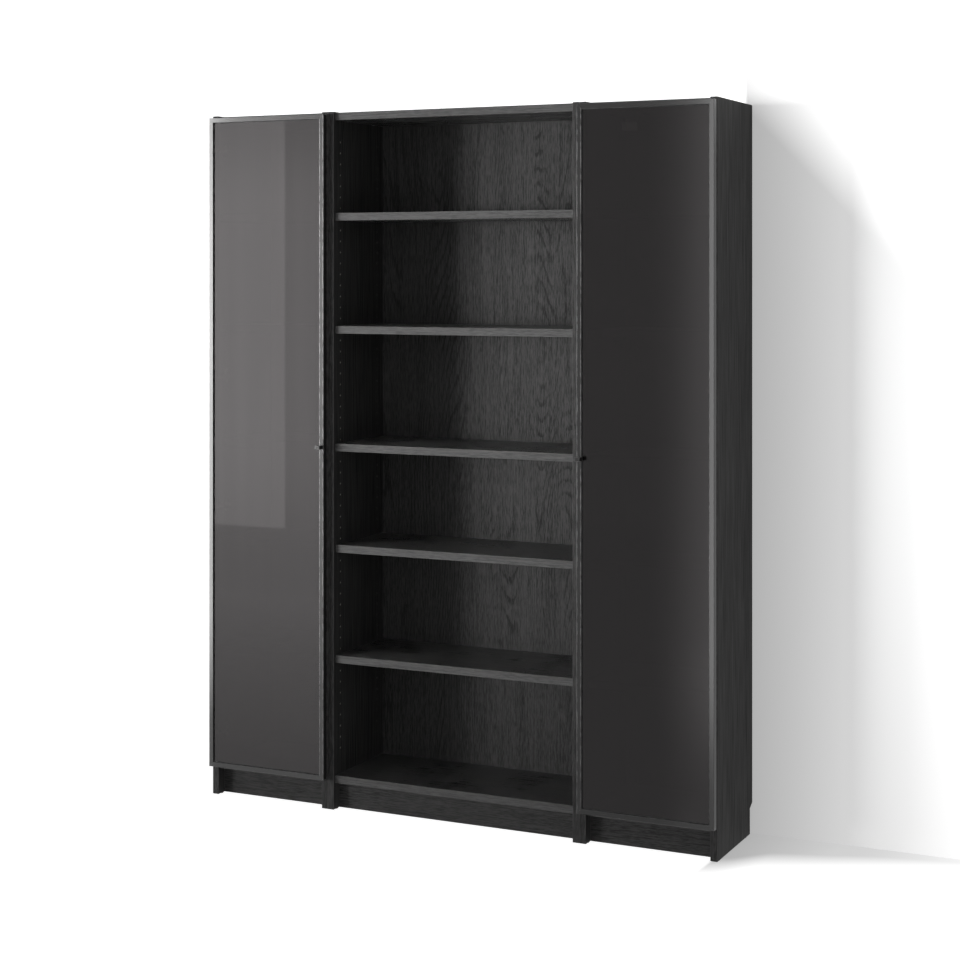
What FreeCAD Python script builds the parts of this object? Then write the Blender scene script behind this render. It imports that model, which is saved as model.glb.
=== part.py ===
import FreeCAD, Part

import os
import re

import Sketcher

# A row of three cabinets: a narrow one with a glass door at each end and a wide open one between.
# X runs along the row, Y points to the back and Z points up. Sizes are in millimetres.
# Inside a cabinet, lengths along Y are measured from the front edge of its side panels.

SIZES = {
    # carcases
    "narrow_cabinet_width": 400,
    "wide_cabinet_width": 800,
    "cabinet_height": 2020,
    "cabinet_depth": 280,
    "side_thickness": 20,
    "board_thickness": 22,
    "board_setback": 10,
    "edge_rounding": 1,
    "top_board_drop": 2,
    "bottom_board_height": 77.5,
    "fixed_shelf_height": 1038,
    "plinth_setback": 31,
    "plinth_thickness": 16,
    "skirting_cut_depth": 20,
    "skirting_cut_inner_height": 74,
    "skirting_cut_back_height": 86,
    "back_thickness": 3,
    "back_rabbet_width": 9,
    "back_inset": 1,
    "back_edge_margin": 2,
    "panel_clearance": 0.2,
    "bore_clearance": 0.1,
    "run_out": 1,
    # rows of shelf-pin holes: a 32 mm grid counted up from the floor
    "pin_grid_base": 13.5,
    "pin_grid_pitch": 32,
    "pin_first_step": 5,
    "pin_top_margin": 80,
    "pin_row_front": 37,
    "pin_row_rear": 37,
    "pin_hole_radius": 2.5,
    "pin_hole_depth": 11,
    # adjustable shelves and their pins
    "shelf_side_clearance": 1,
    "shelf_back_clearance": 3,
    "shelf_pin_rise": 4,
    "middle_shelf_pin_rise": 10.8,
    "shelf_steps_below_top_1": 7,
    "shelf_steps_below_top_2": 17,
    "shelf_step_3": 23,
    "shelf_step_4": 13,
    "pin_support_radius": 3.4,
    "pin_support_length": 8,
    "pin_plug_length": 10,
    # cam fittings, dowels and nails
    "fitting_row_front": 62,
    "fitting_row_rear": 215,
    "dowel_row_front": 94,
    "dowel_row_rear": 183,
    "dowel_radius": 4,
    "dowel_side_depth": 10,
    "dowel_board_depth": 20,
    "cam_radius": 7.5,
    "cam_height": 14,
    "cam_setback": 24,
    "cam_channel_width": 7.6,
    "cam_driver_slot": 1.6,
    "bolt_thread_radius": 2.4,
    "bolt_thread_length": 10,
    "bolt_shank_radius": 3.2,
    "bolt_neck_radius": 1.6,
    "bolt_head_radius": 2.9,
    "bolt_head_length": 3,
    "nail_radius": 0.7,
    "nail_head_radius": 1.6,
    "nail_head_height": 0.7,
    "nail_length": 18,
    "nail_inset": 60,
    # glides under the side panels
    "glide_height": 3,
    "glide_radius": 8,
    "glide_inset": 26,
    "glide_nail_radius": 1.5,
    "glide_nail_length": 14,
    # wall brackets in the upper back corners
    "bracket_thickness": 2,
    "bracket_width": 24,
    "bracket_side_leg": 24,
    "bracket_back_leg": 36,
    "bracket_below_top": 12,
    "bracket_hole_radius": 3,
    "bracket_screw_inset": 9,
    "bracket_screw_radius": 2,
    "bracket_screw_length": 12,
    # doors
    "door_gap": 2,
    "door_thickness": 19,
    "door_edge_margin": 1.5,
    "door_bottom_height": 89.5,
    "door_top_margin": 7,
    "frame_width": 14,
    "frame_arris": 0.8,
    "frame_wall": 1.5,
    "glass_recess": 5,
    "glass_thickness": 4,
    "glass_groove_depth": 5.5,
    "groove_wall": 0.9,
    "gasket_thickness": 0.6,
    "gasket_reveal": 1.5,
    "knob_width": 15.5,
    "knob_height": 11,
    "knob_length": 19.5,
    "knob_inset": 9,
    "knob_arris": 0.8,
    "knob_screw_radius": 1.75,
    "knob_screw_inset": 6.2,
    "knob_screw_length": 20,
    "cleat_length": 40,
    "cleat_clearance": 0.2,
    # pivot hinges, one pair of grid holes each
    "pivot_inset": 4.4,
    "pivot_depth": 5,
    "pivot_pin_radius": 1,
    "pivot_head_radius": 1.5,
    "pivot_running_clearance": 0.05,
    "arm_height": 12,
    "arm_thickness": 3.2,
    "arm_eye_radius": 2.2,
    "arm_length": 62,
    "hinge_pocket_height": 38,
    "shoe_plate_thickness": 2,
    "shoe_web_thickness": 0.8,
    "shoe_ear_gap": 0.3,
    "shoe_end_gap": 2,
    "plate_thickness": 3,
    "plate_wing_height": 46,
    "plate_wing_width": 14,
    "plate_rail_height": 14,
    "plate_rail_front": 20,
    "screw_shank_radius": 2.4,
    "screw_head_radius": 3.4,
    "screw_head_height": 1.6,
    "shoe_screw_radius": 1.1,
    "shoe_screw_head_radius": 1.9,
    "shoe_screw_head_height": 0.8,
    "shoe_screw_length": 5,
    "shoe_screw_spread": 13,
    "hinge_step_low": 5,
    "hinge_step_lower_middle": 26,
    "hinge_steps_below_top_upper_middle": 22,
    "hinge_steps_below_top_high": 1,
}

doc = FreeCAD.newDocument("bookcase_with_glass_doors")
sheet = doc.addObject("Spreadsheet::Sheet", "sizes")
for row, (alias, number) in enumerate(SIZES.items(), start=1):
    sheet.set(f"A{row}", alias)
    sheet.set(f"B{row}", str(number))
    sheet.setAlias(f"B{row}", alias)
doc.recompute()


def sized(words):
    """Write a formula of size names as an expression on the sheet."""
    def cell(match):
        word = match.group()
        return f"sizes.{word}" if word in SIZES else word
    return re.sub(r"[a-z]\w*", cell, words)


def value(words):
    """The number that a formula of size names has now."""
    result = sheet.evalExpression(sized(words))
    return float(getattr(result, "Value", result))


# Levels and places that more than one piece uses
ROW_WIDTH = "(wide_cabinet_width + 2 * narrow_cabinet_width)"
FRONT = "(0 - (cabinet_depth - door_gap - door_thickness - knob_length) / 2)"
SIDE_BOTTOM = "glide_height"
TOP_BOARD = "(cabinet_height - top_board_drop - board_thickness)"
BACK_FACE = "(cabinet_depth - back_thickness - back_inset)"
BOARD_DEPTH = f"({BACK_FACE} - panel_clearance - board_setback)"
TOP_STEP = "floor((cabinet_height - pin_top_margin - pin_grid_base) / pin_grid_pitch)"
DOOR_WIDTH = "(narrow_cabinet_width - 2 * door_edge_margin)"
DOOR_HEIGHT = "(cabinet_height - door_top_margin - door_bottom_height)"
DOOR_BACK = f"({FRONT} - door_gap)"
GLASS_FRONT = "(door_thickness - glass_recess)"
GLASS_BACK = f"({GLASS_FRONT} - glass_thickness)"
GASKET_INSET = "(frame_width - glass_groove_depth + panel_clearance)"
GLASS_INSET = f"({GASKET_INSET} + gasket_thickness)"
POCKET_DEPTH = f"({GLASS_BACK} - gasket_thickness - panel_clearance - groove_wall)"

CABINETS = {
    "left_cabinet": (f"(0 - {ROW_WIDTH} / 2)", "narrow_cabinet_width"),
    "middle_cabinet": ("(0 - wide_cabinet_width / 2)", "wide_cabinet_width"),
    "right_cabinet": ("(wide_cabinet_width / 2)", "narrow_cabinet_width"),
}
FIXED_BOARDS = {
    "top_board": TOP_BOARD,
    "fixed_shelf": "fixed_shelf_height",
    "bottom_board": "bottom_board_height",
}
CAMS_ON_TOP = ("top_board",)
BRACKET_SCREW_ROW = f"({BACK_FACE} - panel_clearance - bracket_side_leg + bracket_screw_inset)"
# Each adjustable shelf: the grid step of its pins, and how far they lie above its underside
SHELVES = [
    (f"({TOP_STEP} - shelf_steps_below_top_1)", "shelf_pin_rise"),
    (f"({TOP_STEP} - shelf_steps_below_top_2)", "middle_shelf_pin_rise"),
    ("shelf_step_3", "shelf_pin_rise"),
    ("shelf_step_4", "shelf_pin_rise"),
]
HINGE_STEPS = [
    "hinge_step_low",
    "hinge_step_lower_middle",
    f"({TOP_STEP} - hinge_steps_below_top_upper_middle)",
    f"({TOP_STEP} - hinge_steps_below_top_high)",
]
# Limits: places this close are the same, a cut takes at least this volume, a long edge is longer
SAME_PLACE = 1e-6
LEAST_CUT = 1e-3
LONG_EDGE = 100
parts = []


def hole_height(step):
    """Height of a shelf-pin hole above the floor."""
    return f"(pin_grid_base + pin_grid_pitch * {step})"


# Sketches, pads and pockets, each bound to the sheet


def new_body(name):
    body = doc.addObject("PartDesign::Body", name)
    body.Label = name
    return body


def keep(piece, node):
    """List an object as a sub-part under its node's name."""
    piece.Label = node
    parts.append(piece)


def place(piece, x, y, z):
    for axis, words in zip("xyz", (x, y, z)):
        piece.setExpression(f"Placement.Base.{axis}", sized(words))


def new_sketch(body, role, offset="0"):
    """A sketch on one of the body's own planes, moved along the plane's normal."""
    sketch = body.newObject("Sketcher::SketchObject", f"{body.Name}_sketch")
    planes = [feature for feature in body.Origin.OriginFeatures if feature.Role == role]
    sketch.AttachmentSupport = (planes[0], [""])
    sketch.MapMode = "FlatFace"
    sketch.setExpression("AttachmentOffset.Base.z", sized(offset))
    return sketch


def bind(sketch, kind, *target, words):
    index = sketch.addConstraint(Sketcher.Constraint(kind, *target, value(words)))
    sketch.setExpression(f"Constraints[{index}]", sized(words))


def add_outline(sketch, corners):
    """A closed outline with straight sides through the given corners."""
    points = [FreeCAD.Vector(value(x), value(y), 0) for x, y in corners]
    first = len(sketch.Geometry)
    count = len(points)
    for i in range(count):
        sketch.addGeometry(Part.LineSegment(points[i], points[(i + 1) % count]))
    for i in range(count):
        following = first + (i + 1) % count
        sketch.addConstraint(Sketcher.Constraint("Coincident", first + i, 2, following, 1))
    for i, (x, y) in enumerate(corners):
        bind(sketch, "DistanceX", -1, 1, first + i, 1, words=x)
        bind(sketch, "DistanceY", -1, 1, first + i, 1, words=y)


def add_rectangle(sketch, x0, y0, x1, y1):
    add_outline(sketch, [(x0, y0), (x1, y0), (x1, y1), (x0, y1)])


def add_circle(sketch, x, y, radius):
    centre = FreeCAD.Vector(value(x), value(y), 0)
    normal = FreeCAD.Vector(0, 0, 1)
    index = sketch.addGeometry(Part.Circle(centre, normal, value(radius)))
    bind(sketch, "DistanceX", -1, 1, index, 3, words=x)
    bind(sketch, "DistanceY", -1, 1, index, 3, words=y)
    bind(sketch, "Radius", index, words=radius)


def pad(body, sketch, length, backwards=False):
    feature = body.newObject("PartDesign::Pad", f"{body.Name}_pad")
    feature.Profile = sketch
    feature.setExpression("Length", sized(length))
    feature.Reversed = backwards
    doc.recompute()


def pocket(body, sketch, depth, along_normal):
    """Cut a sketch into the body: along its plane's normal, or against it."""
    before = body.Shape.Volume
    feature = body.newObject("PartDesign::Pocket", f"{body.Name}_pocket")
    feature.Profile = sketch
    feature.setExpression("Length", sized(depth))
    feature.Reversed = along_normal
    doc.recompute()
    if body.Shape.Volume > before - LEAST_CUT:
        raise RuntimeError(f"{feature.Name} cuts nothing")
    return feature


def bores(body, role, offset, centres, radius, depth, along_normal):
    sketch = new_sketch(body, role, offset)
    for x, y in centres:
        add_circle(sketch, x, y, radius)
    return pocket(body, sketch, depth, along_normal)


def mirror_across_middle(body, features):
    """Repeat cuts on the other side of the body's own YZ plane."""
    mirror = body.newObject("PartDesign::Mirrored", f"{body.Name}_mirror")
    mirror.Originals = features
    planes = [feature for feature in body.Origin.OriginFeatures if feature.Role == "YZ_Plane"]
    mirror.MirrorPlane = (planes[0], [""])
    body.Tip = mirror
    doc.recompute()


def round_edges(body, wanted, radius):
    """Round the edges of the body's last feature that a test picks out."""
    base = body.Tip
    names = [f"Edge{i}" for i, edge in enumerate(base.Shape.Edges, start=1) if wanted(edge)]
    feature = body.newObject("PartDesign::Fillet", f"{body.Name}_rounding")
    feature.Base = (base, names)
    feature.setExpression("Radius", sized(radius))
    body.Tip = feature
    doc.recompute()


def is_long_front_edge(edge):
    """A test for long straight edges that lie at the body's Y = 0."""
    extent = edge.BoundBox
    at_front = abs(extent.YMin) < SAME_PLACE and abs(extent.YMax) < SAME_PLACE
    return at_front and edge.Length > LONG_EDGE


# Carcases


def side_panel(cabinet, hand):
    """A side panel. The body's X = 0 is its outer face and hand points to its inner face."""
    body = new_body(f"{cabinet}_{'left' if hand > 0 else 'right'}_side")
    outline = new_sketch(body, "YZ_Plane")
    height = f"cabinet_height - {SIDE_BOTTOM}"
    add_outline(outline, [
        ("0", "0"),
        ("cabinet_depth - skirting_cut_depth", "0"),
        ("cabinet_depth - skirting_cut_depth", f"skirting_cut_inner_height - {SIDE_BOTTOM}"),
        ("cabinet_depth", f"skirting_cut_back_height - {SIDE_BOTTOM}"),
        ("cabinet_depth", height),
        ("0", height),
    ])
    pad(body, outline, "side_thickness", backwards=hand < 0)
    inner = f"{hand} * side_thickness"
    rabbet = new_sketch(body, "XY_Plane")
    add_rectangle(
        rabbet,
        inner, BACK_FACE,
        f"{hand} * (side_thickness - back_rabbet_width)", "cabinet_depth",
    )
    pocket(body, rabbet, "cabinet_height", along_normal=True)
    round_edges(body, is_long_front_edge, "edge_rounding")
    bolt_holes = []
    dowel_holes = []
    for level in FIXED_BOARDS.values():
        middle = f"{level} + board_thickness / 2 - {SIDE_BOTTOM}"
        bolt_holes += [("fitting_row_front", middle), ("fitting_row_rear", middle)]
        dowel_holes += [("dowel_row_front", middle), ("dowel_row_rear", middle)]
    inwards = hand < 0
    bores(body, "YZ_Plane", inner, bolt_holes, "bolt_thread_radius + bore_clearance",
          "bolt_thread_length + run_out", inwards)
    bores(body, "YZ_Plane", inner, dowel_holes, "dowel_radius + bore_clearance",
          "dowel_side_depth + run_out", inwards)
    glide_holes = [
        (f"{hand} * side_thickness / 2", "glide_inset"),
        (f"{hand} * side_thickness / 2", "cabinet_depth - glide_inset - skirting_cut_depth"),
    ]
    bores(body, "XY_Plane", "0", glide_holes, "glide_nail_radius + bore_clearance",
          "glide_nail_length + run_out", True)
    if hand == bracket_hand(cabinet):
        bracket_hole = [(BRACKET_SCREW_ROW, f"{bracket_middle()} - {SIDE_BOTTOM}")]
        bores(body, "YZ_Plane", inner, bracket_hole, "bracket_screw_radius + bore_clearance",
              "bracket_screw_length", inwards)
    lowest = f"{hole_height('pin_first_step')} - {SIDE_BOTTOM}"
    rows = [("pin_row_front", lowest), ("cabinet_depth - pin_row_rear", lowest)]
    first_holes = bores(body, "YZ_Plane", inner, rows, "pin_hole_radius", "pin_hole_depth", inwards)
    holes = body.newObject("PartDesign::LinearPattern", f"{body.Name}_pin_holes")
    holes.Originals = [first_holes]
    holes.Direction = (first_holes.Profile[0], ["V_Axis"])
    steps = f"({TOP_STEP} - pin_first_step)"
    holes.setExpression("Length", sized(f"{steps} * pin_grid_pitch"))
    holes.setExpression("Occurrences", sized(f"{steps} + 1"))
    body.Tip = holes
    doc.recompute()
    left_x, width = CABINETS[cabinet]
    outer_x = left_x if hand > 0 else f"{left_x} + {width}"
    place(body, outer_x, FRONT, SIDE_BOTTOM)
    keep(body, body.Name)


def board_body(name, width, depth):
    """A flat board, centred on the body's X = 0, with its front edge at Y = 0."""
    body = new_body(name)
    outline = new_sketch(body, "XY_Plane")
    add_rectangle(outline, f"0 - ({width}) / 2", "0", f"({width}) / 2", depth)
    pad(body, outline, "board_thickness")
    round_edges(body, is_long_front_edge, "edge_rounding")
    return body


def inner_width(cabinet):
    return f"({CABINETS[cabinet][1]} - 2 * side_thickness)"


def middle_x(cabinet):
    left_x, width = CABINETS[cabinet]
    return f"({left_x} + {width} / 2)"


def nail_offsets(cabinet):
    """Where the back's nails stand along a board, measured from the board's middle."""
    reach = f"({inner_width(cabinet)} / 2 - nail_inset)"
    return [f"0 - {reach}", "0", reach]


def fixed_board(cabinet, name):
    """A board that is joined to both sides by two cam fittings and two dowels at each end."""
    width = inner_width(cabinet)
    body = board_body(f"{cabinet}_{name}", width, BOARD_DEPTH)
    end = f"0 - {width} / 2"
    cuts = []
    cam_x = f"{end} + cam_setback"
    cams = [(cam_x, f"{row} - board_setback") for row in ("fitting_row_front", "fitting_row_rear")]
    on_top = name in CAMS_ON_TOP
    cam_face = "board_thickness" if on_top else "0"
    cuts.append(bores(body, "XY_Plane", cam_face, cams, "cam_radius", "cam_height", not on_top))
    middle = "board_thickness / 2"
    bolts = [(f"{row} - board_setback", middle) for row in ("fitting_row_front", "fitting_row_rear")]
    cuts.append(bores(body, "YZ_Plane", end, bolts, "bolt_shank_radius + bore_clearance",
                      "cam_setback", True))
    dowels = [(f"{row} - board_setback", middle) for row in ("dowel_row_front", "dowel_row_rear")]
    cuts.append(bores(body, "YZ_Plane", end, dowels, "dowel_radius + bore_clearance",
                      "dowel_board_depth + run_out", True))
    mirror_across_middle(body, cuts)
    nails = [(x, middle) for x in nail_offsets(cabinet)]
    bores(body, "XZ_Plane", f"0 - {BOARD_DEPTH}", nails, "nail_radius + bore_clearance",
          "nail_length", True)
    place(body, middle_x(cabinet), f"{FRONT} + board_setback", FIXED_BOARDS[name])
    keep(body, body.Name)


def plinth(cabinet):
    body = new_body(f"{cabinet}_plinth")
    outline = new_sketch(body, "XY_Plane")
    width = inner_width(cabinet)
    add_rectangle(outline, f"0 - {width} / 2", "0", f"{width} / 2", "plinth_thickness")
    pad(body, outline, f"bottom_board_height - {SIDE_BOTTOM}")
    place(body, middle_x(cabinet), f"{FRONT} + plinth_setback", SIDE_BOTTOM)
    keep(body, body.Name)


def back_panel(cabinet):
    """The thin back, in the rabbets of the sides, nailed to the fixed boards."""
    body = new_body(f"{cabinet}_back")
    half = f"({inner_width(cabinet)} / 2 + back_rabbet_width - panel_clearance)"
    outline = new_sketch(body, "XZ_Plane")
    bottom = "(bottom_board_height + back_edge_margin)"
    top = "(cabinet_height - top_board_drop - back_edge_margin)"
    add_rectangle(outline, f"0 - {half}", bottom, half, top)
    pad(body, outline, "back_thickness", backwards=True)
    radius = "nail_radius + bore_clearance"
    centres = []
    for level in FIXED_BOARDS.values():
        centres += [(x, f"{level} + board_thickness / 2") for x in nail_offsets(cabinet)]
    bores(body, "XZ_Plane", "0", centres, radius, "back_thickness", False)
    wall_hole = [(wall_hole_offset(cabinet), bracket_middle())]
    bores(body, "XZ_Plane", "0", wall_hole, "bracket_hole_radius", "back_thickness", False)
    place(body, middle_x(cabinet), f"{FRONT} + {BACK_FACE}", "0")
    keep(body, body.Name)


def shelf(cabinet, number):
    """An adjustable shelf, with notches in its underside that hide the four pins."""
    step, rise = SHELVES[number - 1]
    width = f"({inner_width(cabinet)} - 2 * shelf_side_clearance)"
    depth = f"({BOARD_DEPTH} - shelf_back_clearance)"
    body = board_body(f"{cabinet}_shelf_{number}", width, depth)
    half = "(pin_support_radius + panel_clearance)"
    notches = new_sketch(body, "XY_Plane")
    end = f"(0 - {width} / 2)"
    inner_end = f"({end} + pin_support_length - shelf_side_clearance + panel_clearance)"
    for row in ("pin_row_front", "(cabinet_depth - pin_row_rear)"):
        middle = f"({row} - board_setback)"
        add_rectangle(notches, end, f"{middle} - {half}", inner_end, f"{middle} + {half}")
    cut = pocket(body, notches, f"{rise} + pin_support_radius", along_normal=True)
    mirror_across_middle(body, [cut])
    place(body, middle_x(cabinet), f"{FRONT} + board_setback", f"{hole_height(step)} - {rise}")
    return body


# Hardware: groups of equal small pieces, made from the same sizes


def box(x0, y0, z0, x1, y1, z1):
    corner = FreeCAD.Vector(min(x0, x1), min(y0, y1), min(z0, z1))
    return Part.makeBox(abs(x1 - x0), abs(y1 - y0), abs(z1 - z0), corner)


def rod(start, direction, length, radius):
    return Part.makeCylinder(radius, length, FreeCAD.Vector(*start), FreeCAD.Vector(*direction))


def group(node, shapes):
    """One node that holds equal solids."""
    feature = doc.addObject("Part::Feature", node)
    feature.Shape = Part.makeCompound(shapes)
    keep(feature, node)


def side_faces():
    """The inner face of every side panel: its X and the direction into the cabinet."""
    faces = []
    for left_x, width in CABINETS.values():
        faces.append((value(f"{left_x} + side_thickness"), 1))
        faces.append((value(f"{left_x} + {width} - side_thickness"), -1))
    return faces


def shelf_pins():
    front = value(FRONT)
    rows = [value("pin_row_front") + front, value("cabinet_depth - pin_row_rear") + front]
    plug = value("pin_plug_length")
    support = value("pin_support_length")
    shapes = []
    for x, inward in side_faces():
        for step, _ in SHELVES:
            for y in rows:
                z = value(hole_height(step))
                peg = rod((x - inward * plug, y, z), (inward, 0, 0), plug + support,
                          value("pin_hole_radius - bore_clearance"))
                collar = rod((x, y, z), (inward, 0, 0), support, value("pin_support_radius"))
                shapes.append(peg.fuse(collar).removeSplitter())
    group("shelf_pins", shapes)


def fitting_places(rows):
    """Where the fixed boards meet the sides, for fittings in the given rows.

    Each place is the X of the side's face, the direction into the cabinet, Y, the board's
    middle Z, and the direction from there to the board's cam face.
    """
    places = []
    for x, inward in side_faces():
        for name, level in FIXED_BOARDS.items():
            for row in rows:
                y = value(f"{FRONT} + {row}")
                middle = value(f"{level} + board_thickness / 2")
                places.append((x, inward, y, middle, 1 if name in CAMS_ON_TOP else -1))
    return places


def cam_fittings():
    clearance = value("bore_clearance")
    setback = value("cam_setback")
    radius = value("cam_radius") - clearance
    half_board = value("board_thickness / 2")
    half_channel = value("cam_channel_width / 2")
    head_length = value("bolt_head_length")
    neck = value("bolt_neck_radius")
    slot_width = value("cam_driver_slot")
    locks = []
    bolts = []
    for x, inward, y, z, cam_side in fitting_places(("fitting_row_front", "fitting_row_rear")):
        cam_x = x + inward * setback
        face = z + cam_side * half_board
        cam_length = value("cam_height") - clearance
        lock = rod((cam_x, y, face), (0, 0, -cam_side), cam_length, radius)
        channel = box(cam_x - radius, y - half_channel, z + cam_side * half_channel,
                      cam_x + radius, y + half_channel, z - cam_side * half_board)
        slot = box(cam_x - radius, y - slot_width / 2, face,
                   cam_x + radius, y + slot_width / 2, face - cam_side * slot_width)
        locks.append(lock.cut(channel).cut(slot))
        thread = value("bolt_thread_length")
        axis = (inward, 0, 0)
        shank_length = setback - value("cam_radius")
        neck_length = value("cam_radius")
        bolt = rod((x - inward * thread, y, z), axis, thread, value("bolt_thread_radius"))
        bolt = bolt.fuse(rod((x, y, z), axis, shank_length, value("bolt_shank_radius")))
        bolt = bolt.fuse(rod((x + inward * shank_length, y, z), axis, neck_length, neck))
        head_x = x + inward * (setback - head_length / 2)
        bolts.append(bolt.fuse(rod((head_x, y, z), axis, head_length, value("bolt_head_radius"))))
    group("cam_locks", locks)
    group("cam_bolts", bolts)


def dowels():
    side_depth = value("dowel_side_depth")
    length = side_depth + value("dowel_board_depth")
    shapes = []
    for x, inward, y, z, _ in fitting_places(("dowel_row_front", "dowel_row_rear")):
        start = (x - inward * side_depth, y, z)
        shapes.append(rod(start, (inward, 0, 0), length, value("dowel_radius")))
    group("dowels", shapes)


def back_nails():
    """Nails through the back into the fixed boards, with their heads on its rear face."""
    rear = value(f"{FRONT} + {BACK_FACE} + back_thickness")
    head_height = value("nail_head_height")
    shapes = []
    for cabinet in CABINETS:
        for level in FIXED_BOARDS.values():
            for offset in nail_offsets(cabinet):
                x = value(f"{middle_x(cabinet)} + {offset}")
                z = value(f"{level} + board_thickness / 2")
                shank = rod((x, rear, z), (0, -1, 0), value("nail_length"), value("nail_radius"))
                head = rod((x, rear, z), (0, 1, 0), head_height, value("nail_head_radius"))
                shapes.append(shank.fuse(head))
    group("back_nails", shapes)


def glides():
    height = value("glide_height")
    places = [value(f"{FRONT} + glide_inset"),
              value(f"{FRONT} + cabinet_depth - glide_inset - skirting_cut_depth")]
    shapes = []
    for x, inward in side_faces():
        middle = x - inward * value("side_thickness / 2")
        for y in places:
            pad_disc = rod((middle, y, 0), (0, 0, 1), height, value("glide_radius"))
            nail = rod((middle, y, 0), (0, 0, 1), height + value("glide_nail_length"),
                       value("glide_nail_radius"))
            shapes.append(pad_disc.fuse(nail).removeSplitter())
    group("glides", shapes)


def bracket_hand(cabinet):
    """The side that carries the bracket: the one away from a door's hinges."""
    return 1 if cabinet == "right_cabinet" else -1


def bracket_middle():
    return f"({TOP_BOARD} - bracket_below_top - bracket_width / 2)"


def wall_hole_offset(cabinet):
    """The wall screw's place along the back, measured from the cabinet's middle."""
    hand = bracket_hand(cabinet)
    reach = f"({inner_width(cabinet)} / 2 - bracket_back_leg / 2 - bracket_thickness)"
    return f"0 - {hand} * {reach}"


def wall_brackets():
    """Angle brackets, screwed to a side and drilled for a screw into the wall."""
    thickness = value("bracket_thickness")
    rear = value(f"{FRONT} + {BACK_FACE} - panel_clearance")
    middle = value(bracket_middle())
    low = middle - value("bracket_width / 2")
    high = middle + value("bracket_width / 2")
    shapes = []
    screws = []
    for cabinet in CABINETS:
        hand = bracket_hand(cabinet)
        face = value(f"{middle_x(cabinet)} - {hand} * {inner_width(cabinet)} / 2")
        leg = value("bracket_side_leg")
        side_leg = box(face, rear - leg, low, face + hand * thickness, rear, high)
        back_leg = box(face, rear - thickness, low,
                       face + hand * value("bracket_back_leg"), rear, high)
        hole_x = value(f"{middle_x(cabinet)} + {wall_hole_offset(cabinet)}")
        hole = rod((hole_x, rear - thickness, middle), (0, 1, 0), thickness,
                   value("bracket_hole_radius"))
        screw_y = value(f"{FRONT} + {BRACKET_SCREW_ROW}")
        radius = value("bracket_screw_radius")
        clearance = value("bore_clearance")
        screw_hole = rod((face, screw_y, middle), (hand, 0, 0), thickness, radius + clearance)
        shapes.append(side_leg.fuse(back_leg).removeSplitter().cut(hole).cut(screw_hole))
        head = rod((face + hand * thickness, screw_y, middle), (hand, 0, 0),
                   value("screw_head_height"), value("screw_head_radius"))
        shank = rod((face + hand * thickness, screw_y, middle), (-hand, 0, 0),
                    value("bracket_screw_length"), radius)
        screws.append(head.fuse(shank))
    group("wall_brackets", shapes)
    group("wall_bracket_screws", screws)


# Doors. In a door's own bodies X = 0 is the edge at the end of the row, hand points to the free
# edge, and Y = 0 is the back of the frame with the face at minus the door's thickness.


def frame_section():
    """The frame's section: corners of its outline and of the chamber behind the glass groove.

    Each corner is given by its distance from the door's edge and its depth from the door's back.
    """
    face = "door_thickness"
    groove_front = f"({GLASS_FRONT} + gasket_thickness + panel_clearance)"
    groove_back = f"({GLASS_BACK} - gasket_thickness - panel_clearance)"
    groove_floor = "(frame_width - glass_groove_depth)"
    outline = [
        ("0", "0"),
        ("frame_width", "0"),
        ("frame_width", groove_back),
        (groove_floor, groove_back),
        (groove_floor, groove_front),
        ("frame_width", groove_front),
        ("frame_width", f"{face} - frame_arris"),
        ("(frame_width - frame_arris)", face),
        ("frame_arris", face),
        ("0", f"{face} - frame_arris"),
    ]
    chamber = [
        ("frame_wall", "frame_wall"),
        ("(frame_width - frame_wall)", "frame_wall"),
        ("(frame_width - frame_wall)", POCKET_DEPTH),
        ("frame_wall", POCKET_DEPTH),
    ]
    return [outline, chamber]


def cut_corners(body, triangles):
    """Cut the triangles that make the mitres at a bar's two ends."""
    sketch = new_sketch(body, "XZ_Plane", "0 - run_out")
    for triangle in triangles:
        add_outline(sketch, triangle)
    pocket(body, sketch, "door_thickness + 2 * run_out", along_normal=True)


def from_edge(hand, at_free_edge, inset):
    """X of a place in a door, measured in from its hinge edge or from its free edge."""
    if at_free_edge:
        return f"{hand} * ({DOOR_WIDTH} - ({inset}))"
    return f"{hand} * ({inset})"


def from_end(at_top, inset):
    """Z of a place in a door, measured up from its bottom or down from its top."""
    return f"{DOOR_HEIGHT} - ({inset})" if at_top else inset


def stile(door, name, hand, at_free_edge):
    """An upright bar of the frame, with a mitre at each end."""
    body = new_body(f"{door}_{name}")
    section = new_sketch(body, "XY_Plane")
    for loop in frame_section():
        corners = [(from_edge(hand, at_free_edge, width), f"0 - ({depth})") for width, depth in loop]
        add_outline(section, corners)
    pad(body, section, DOOR_HEIGHT)
    outside = from_edge(hand, at_free_edge, "0 - run_out")
    inside = from_edge(hand, at_free_edge, "frame_width + run_out")
    triangles = []
    for at_top in (False, True):
        past_end = from_end(at_top, "0 - run_out")
        past_bar = from_end(at_top, "frame_width + run_out")
        triangles.append([(outside, past_end), (inside, past_end), (inside, past_bar)])
    cut_corners(body, triangles)
    return body


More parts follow.
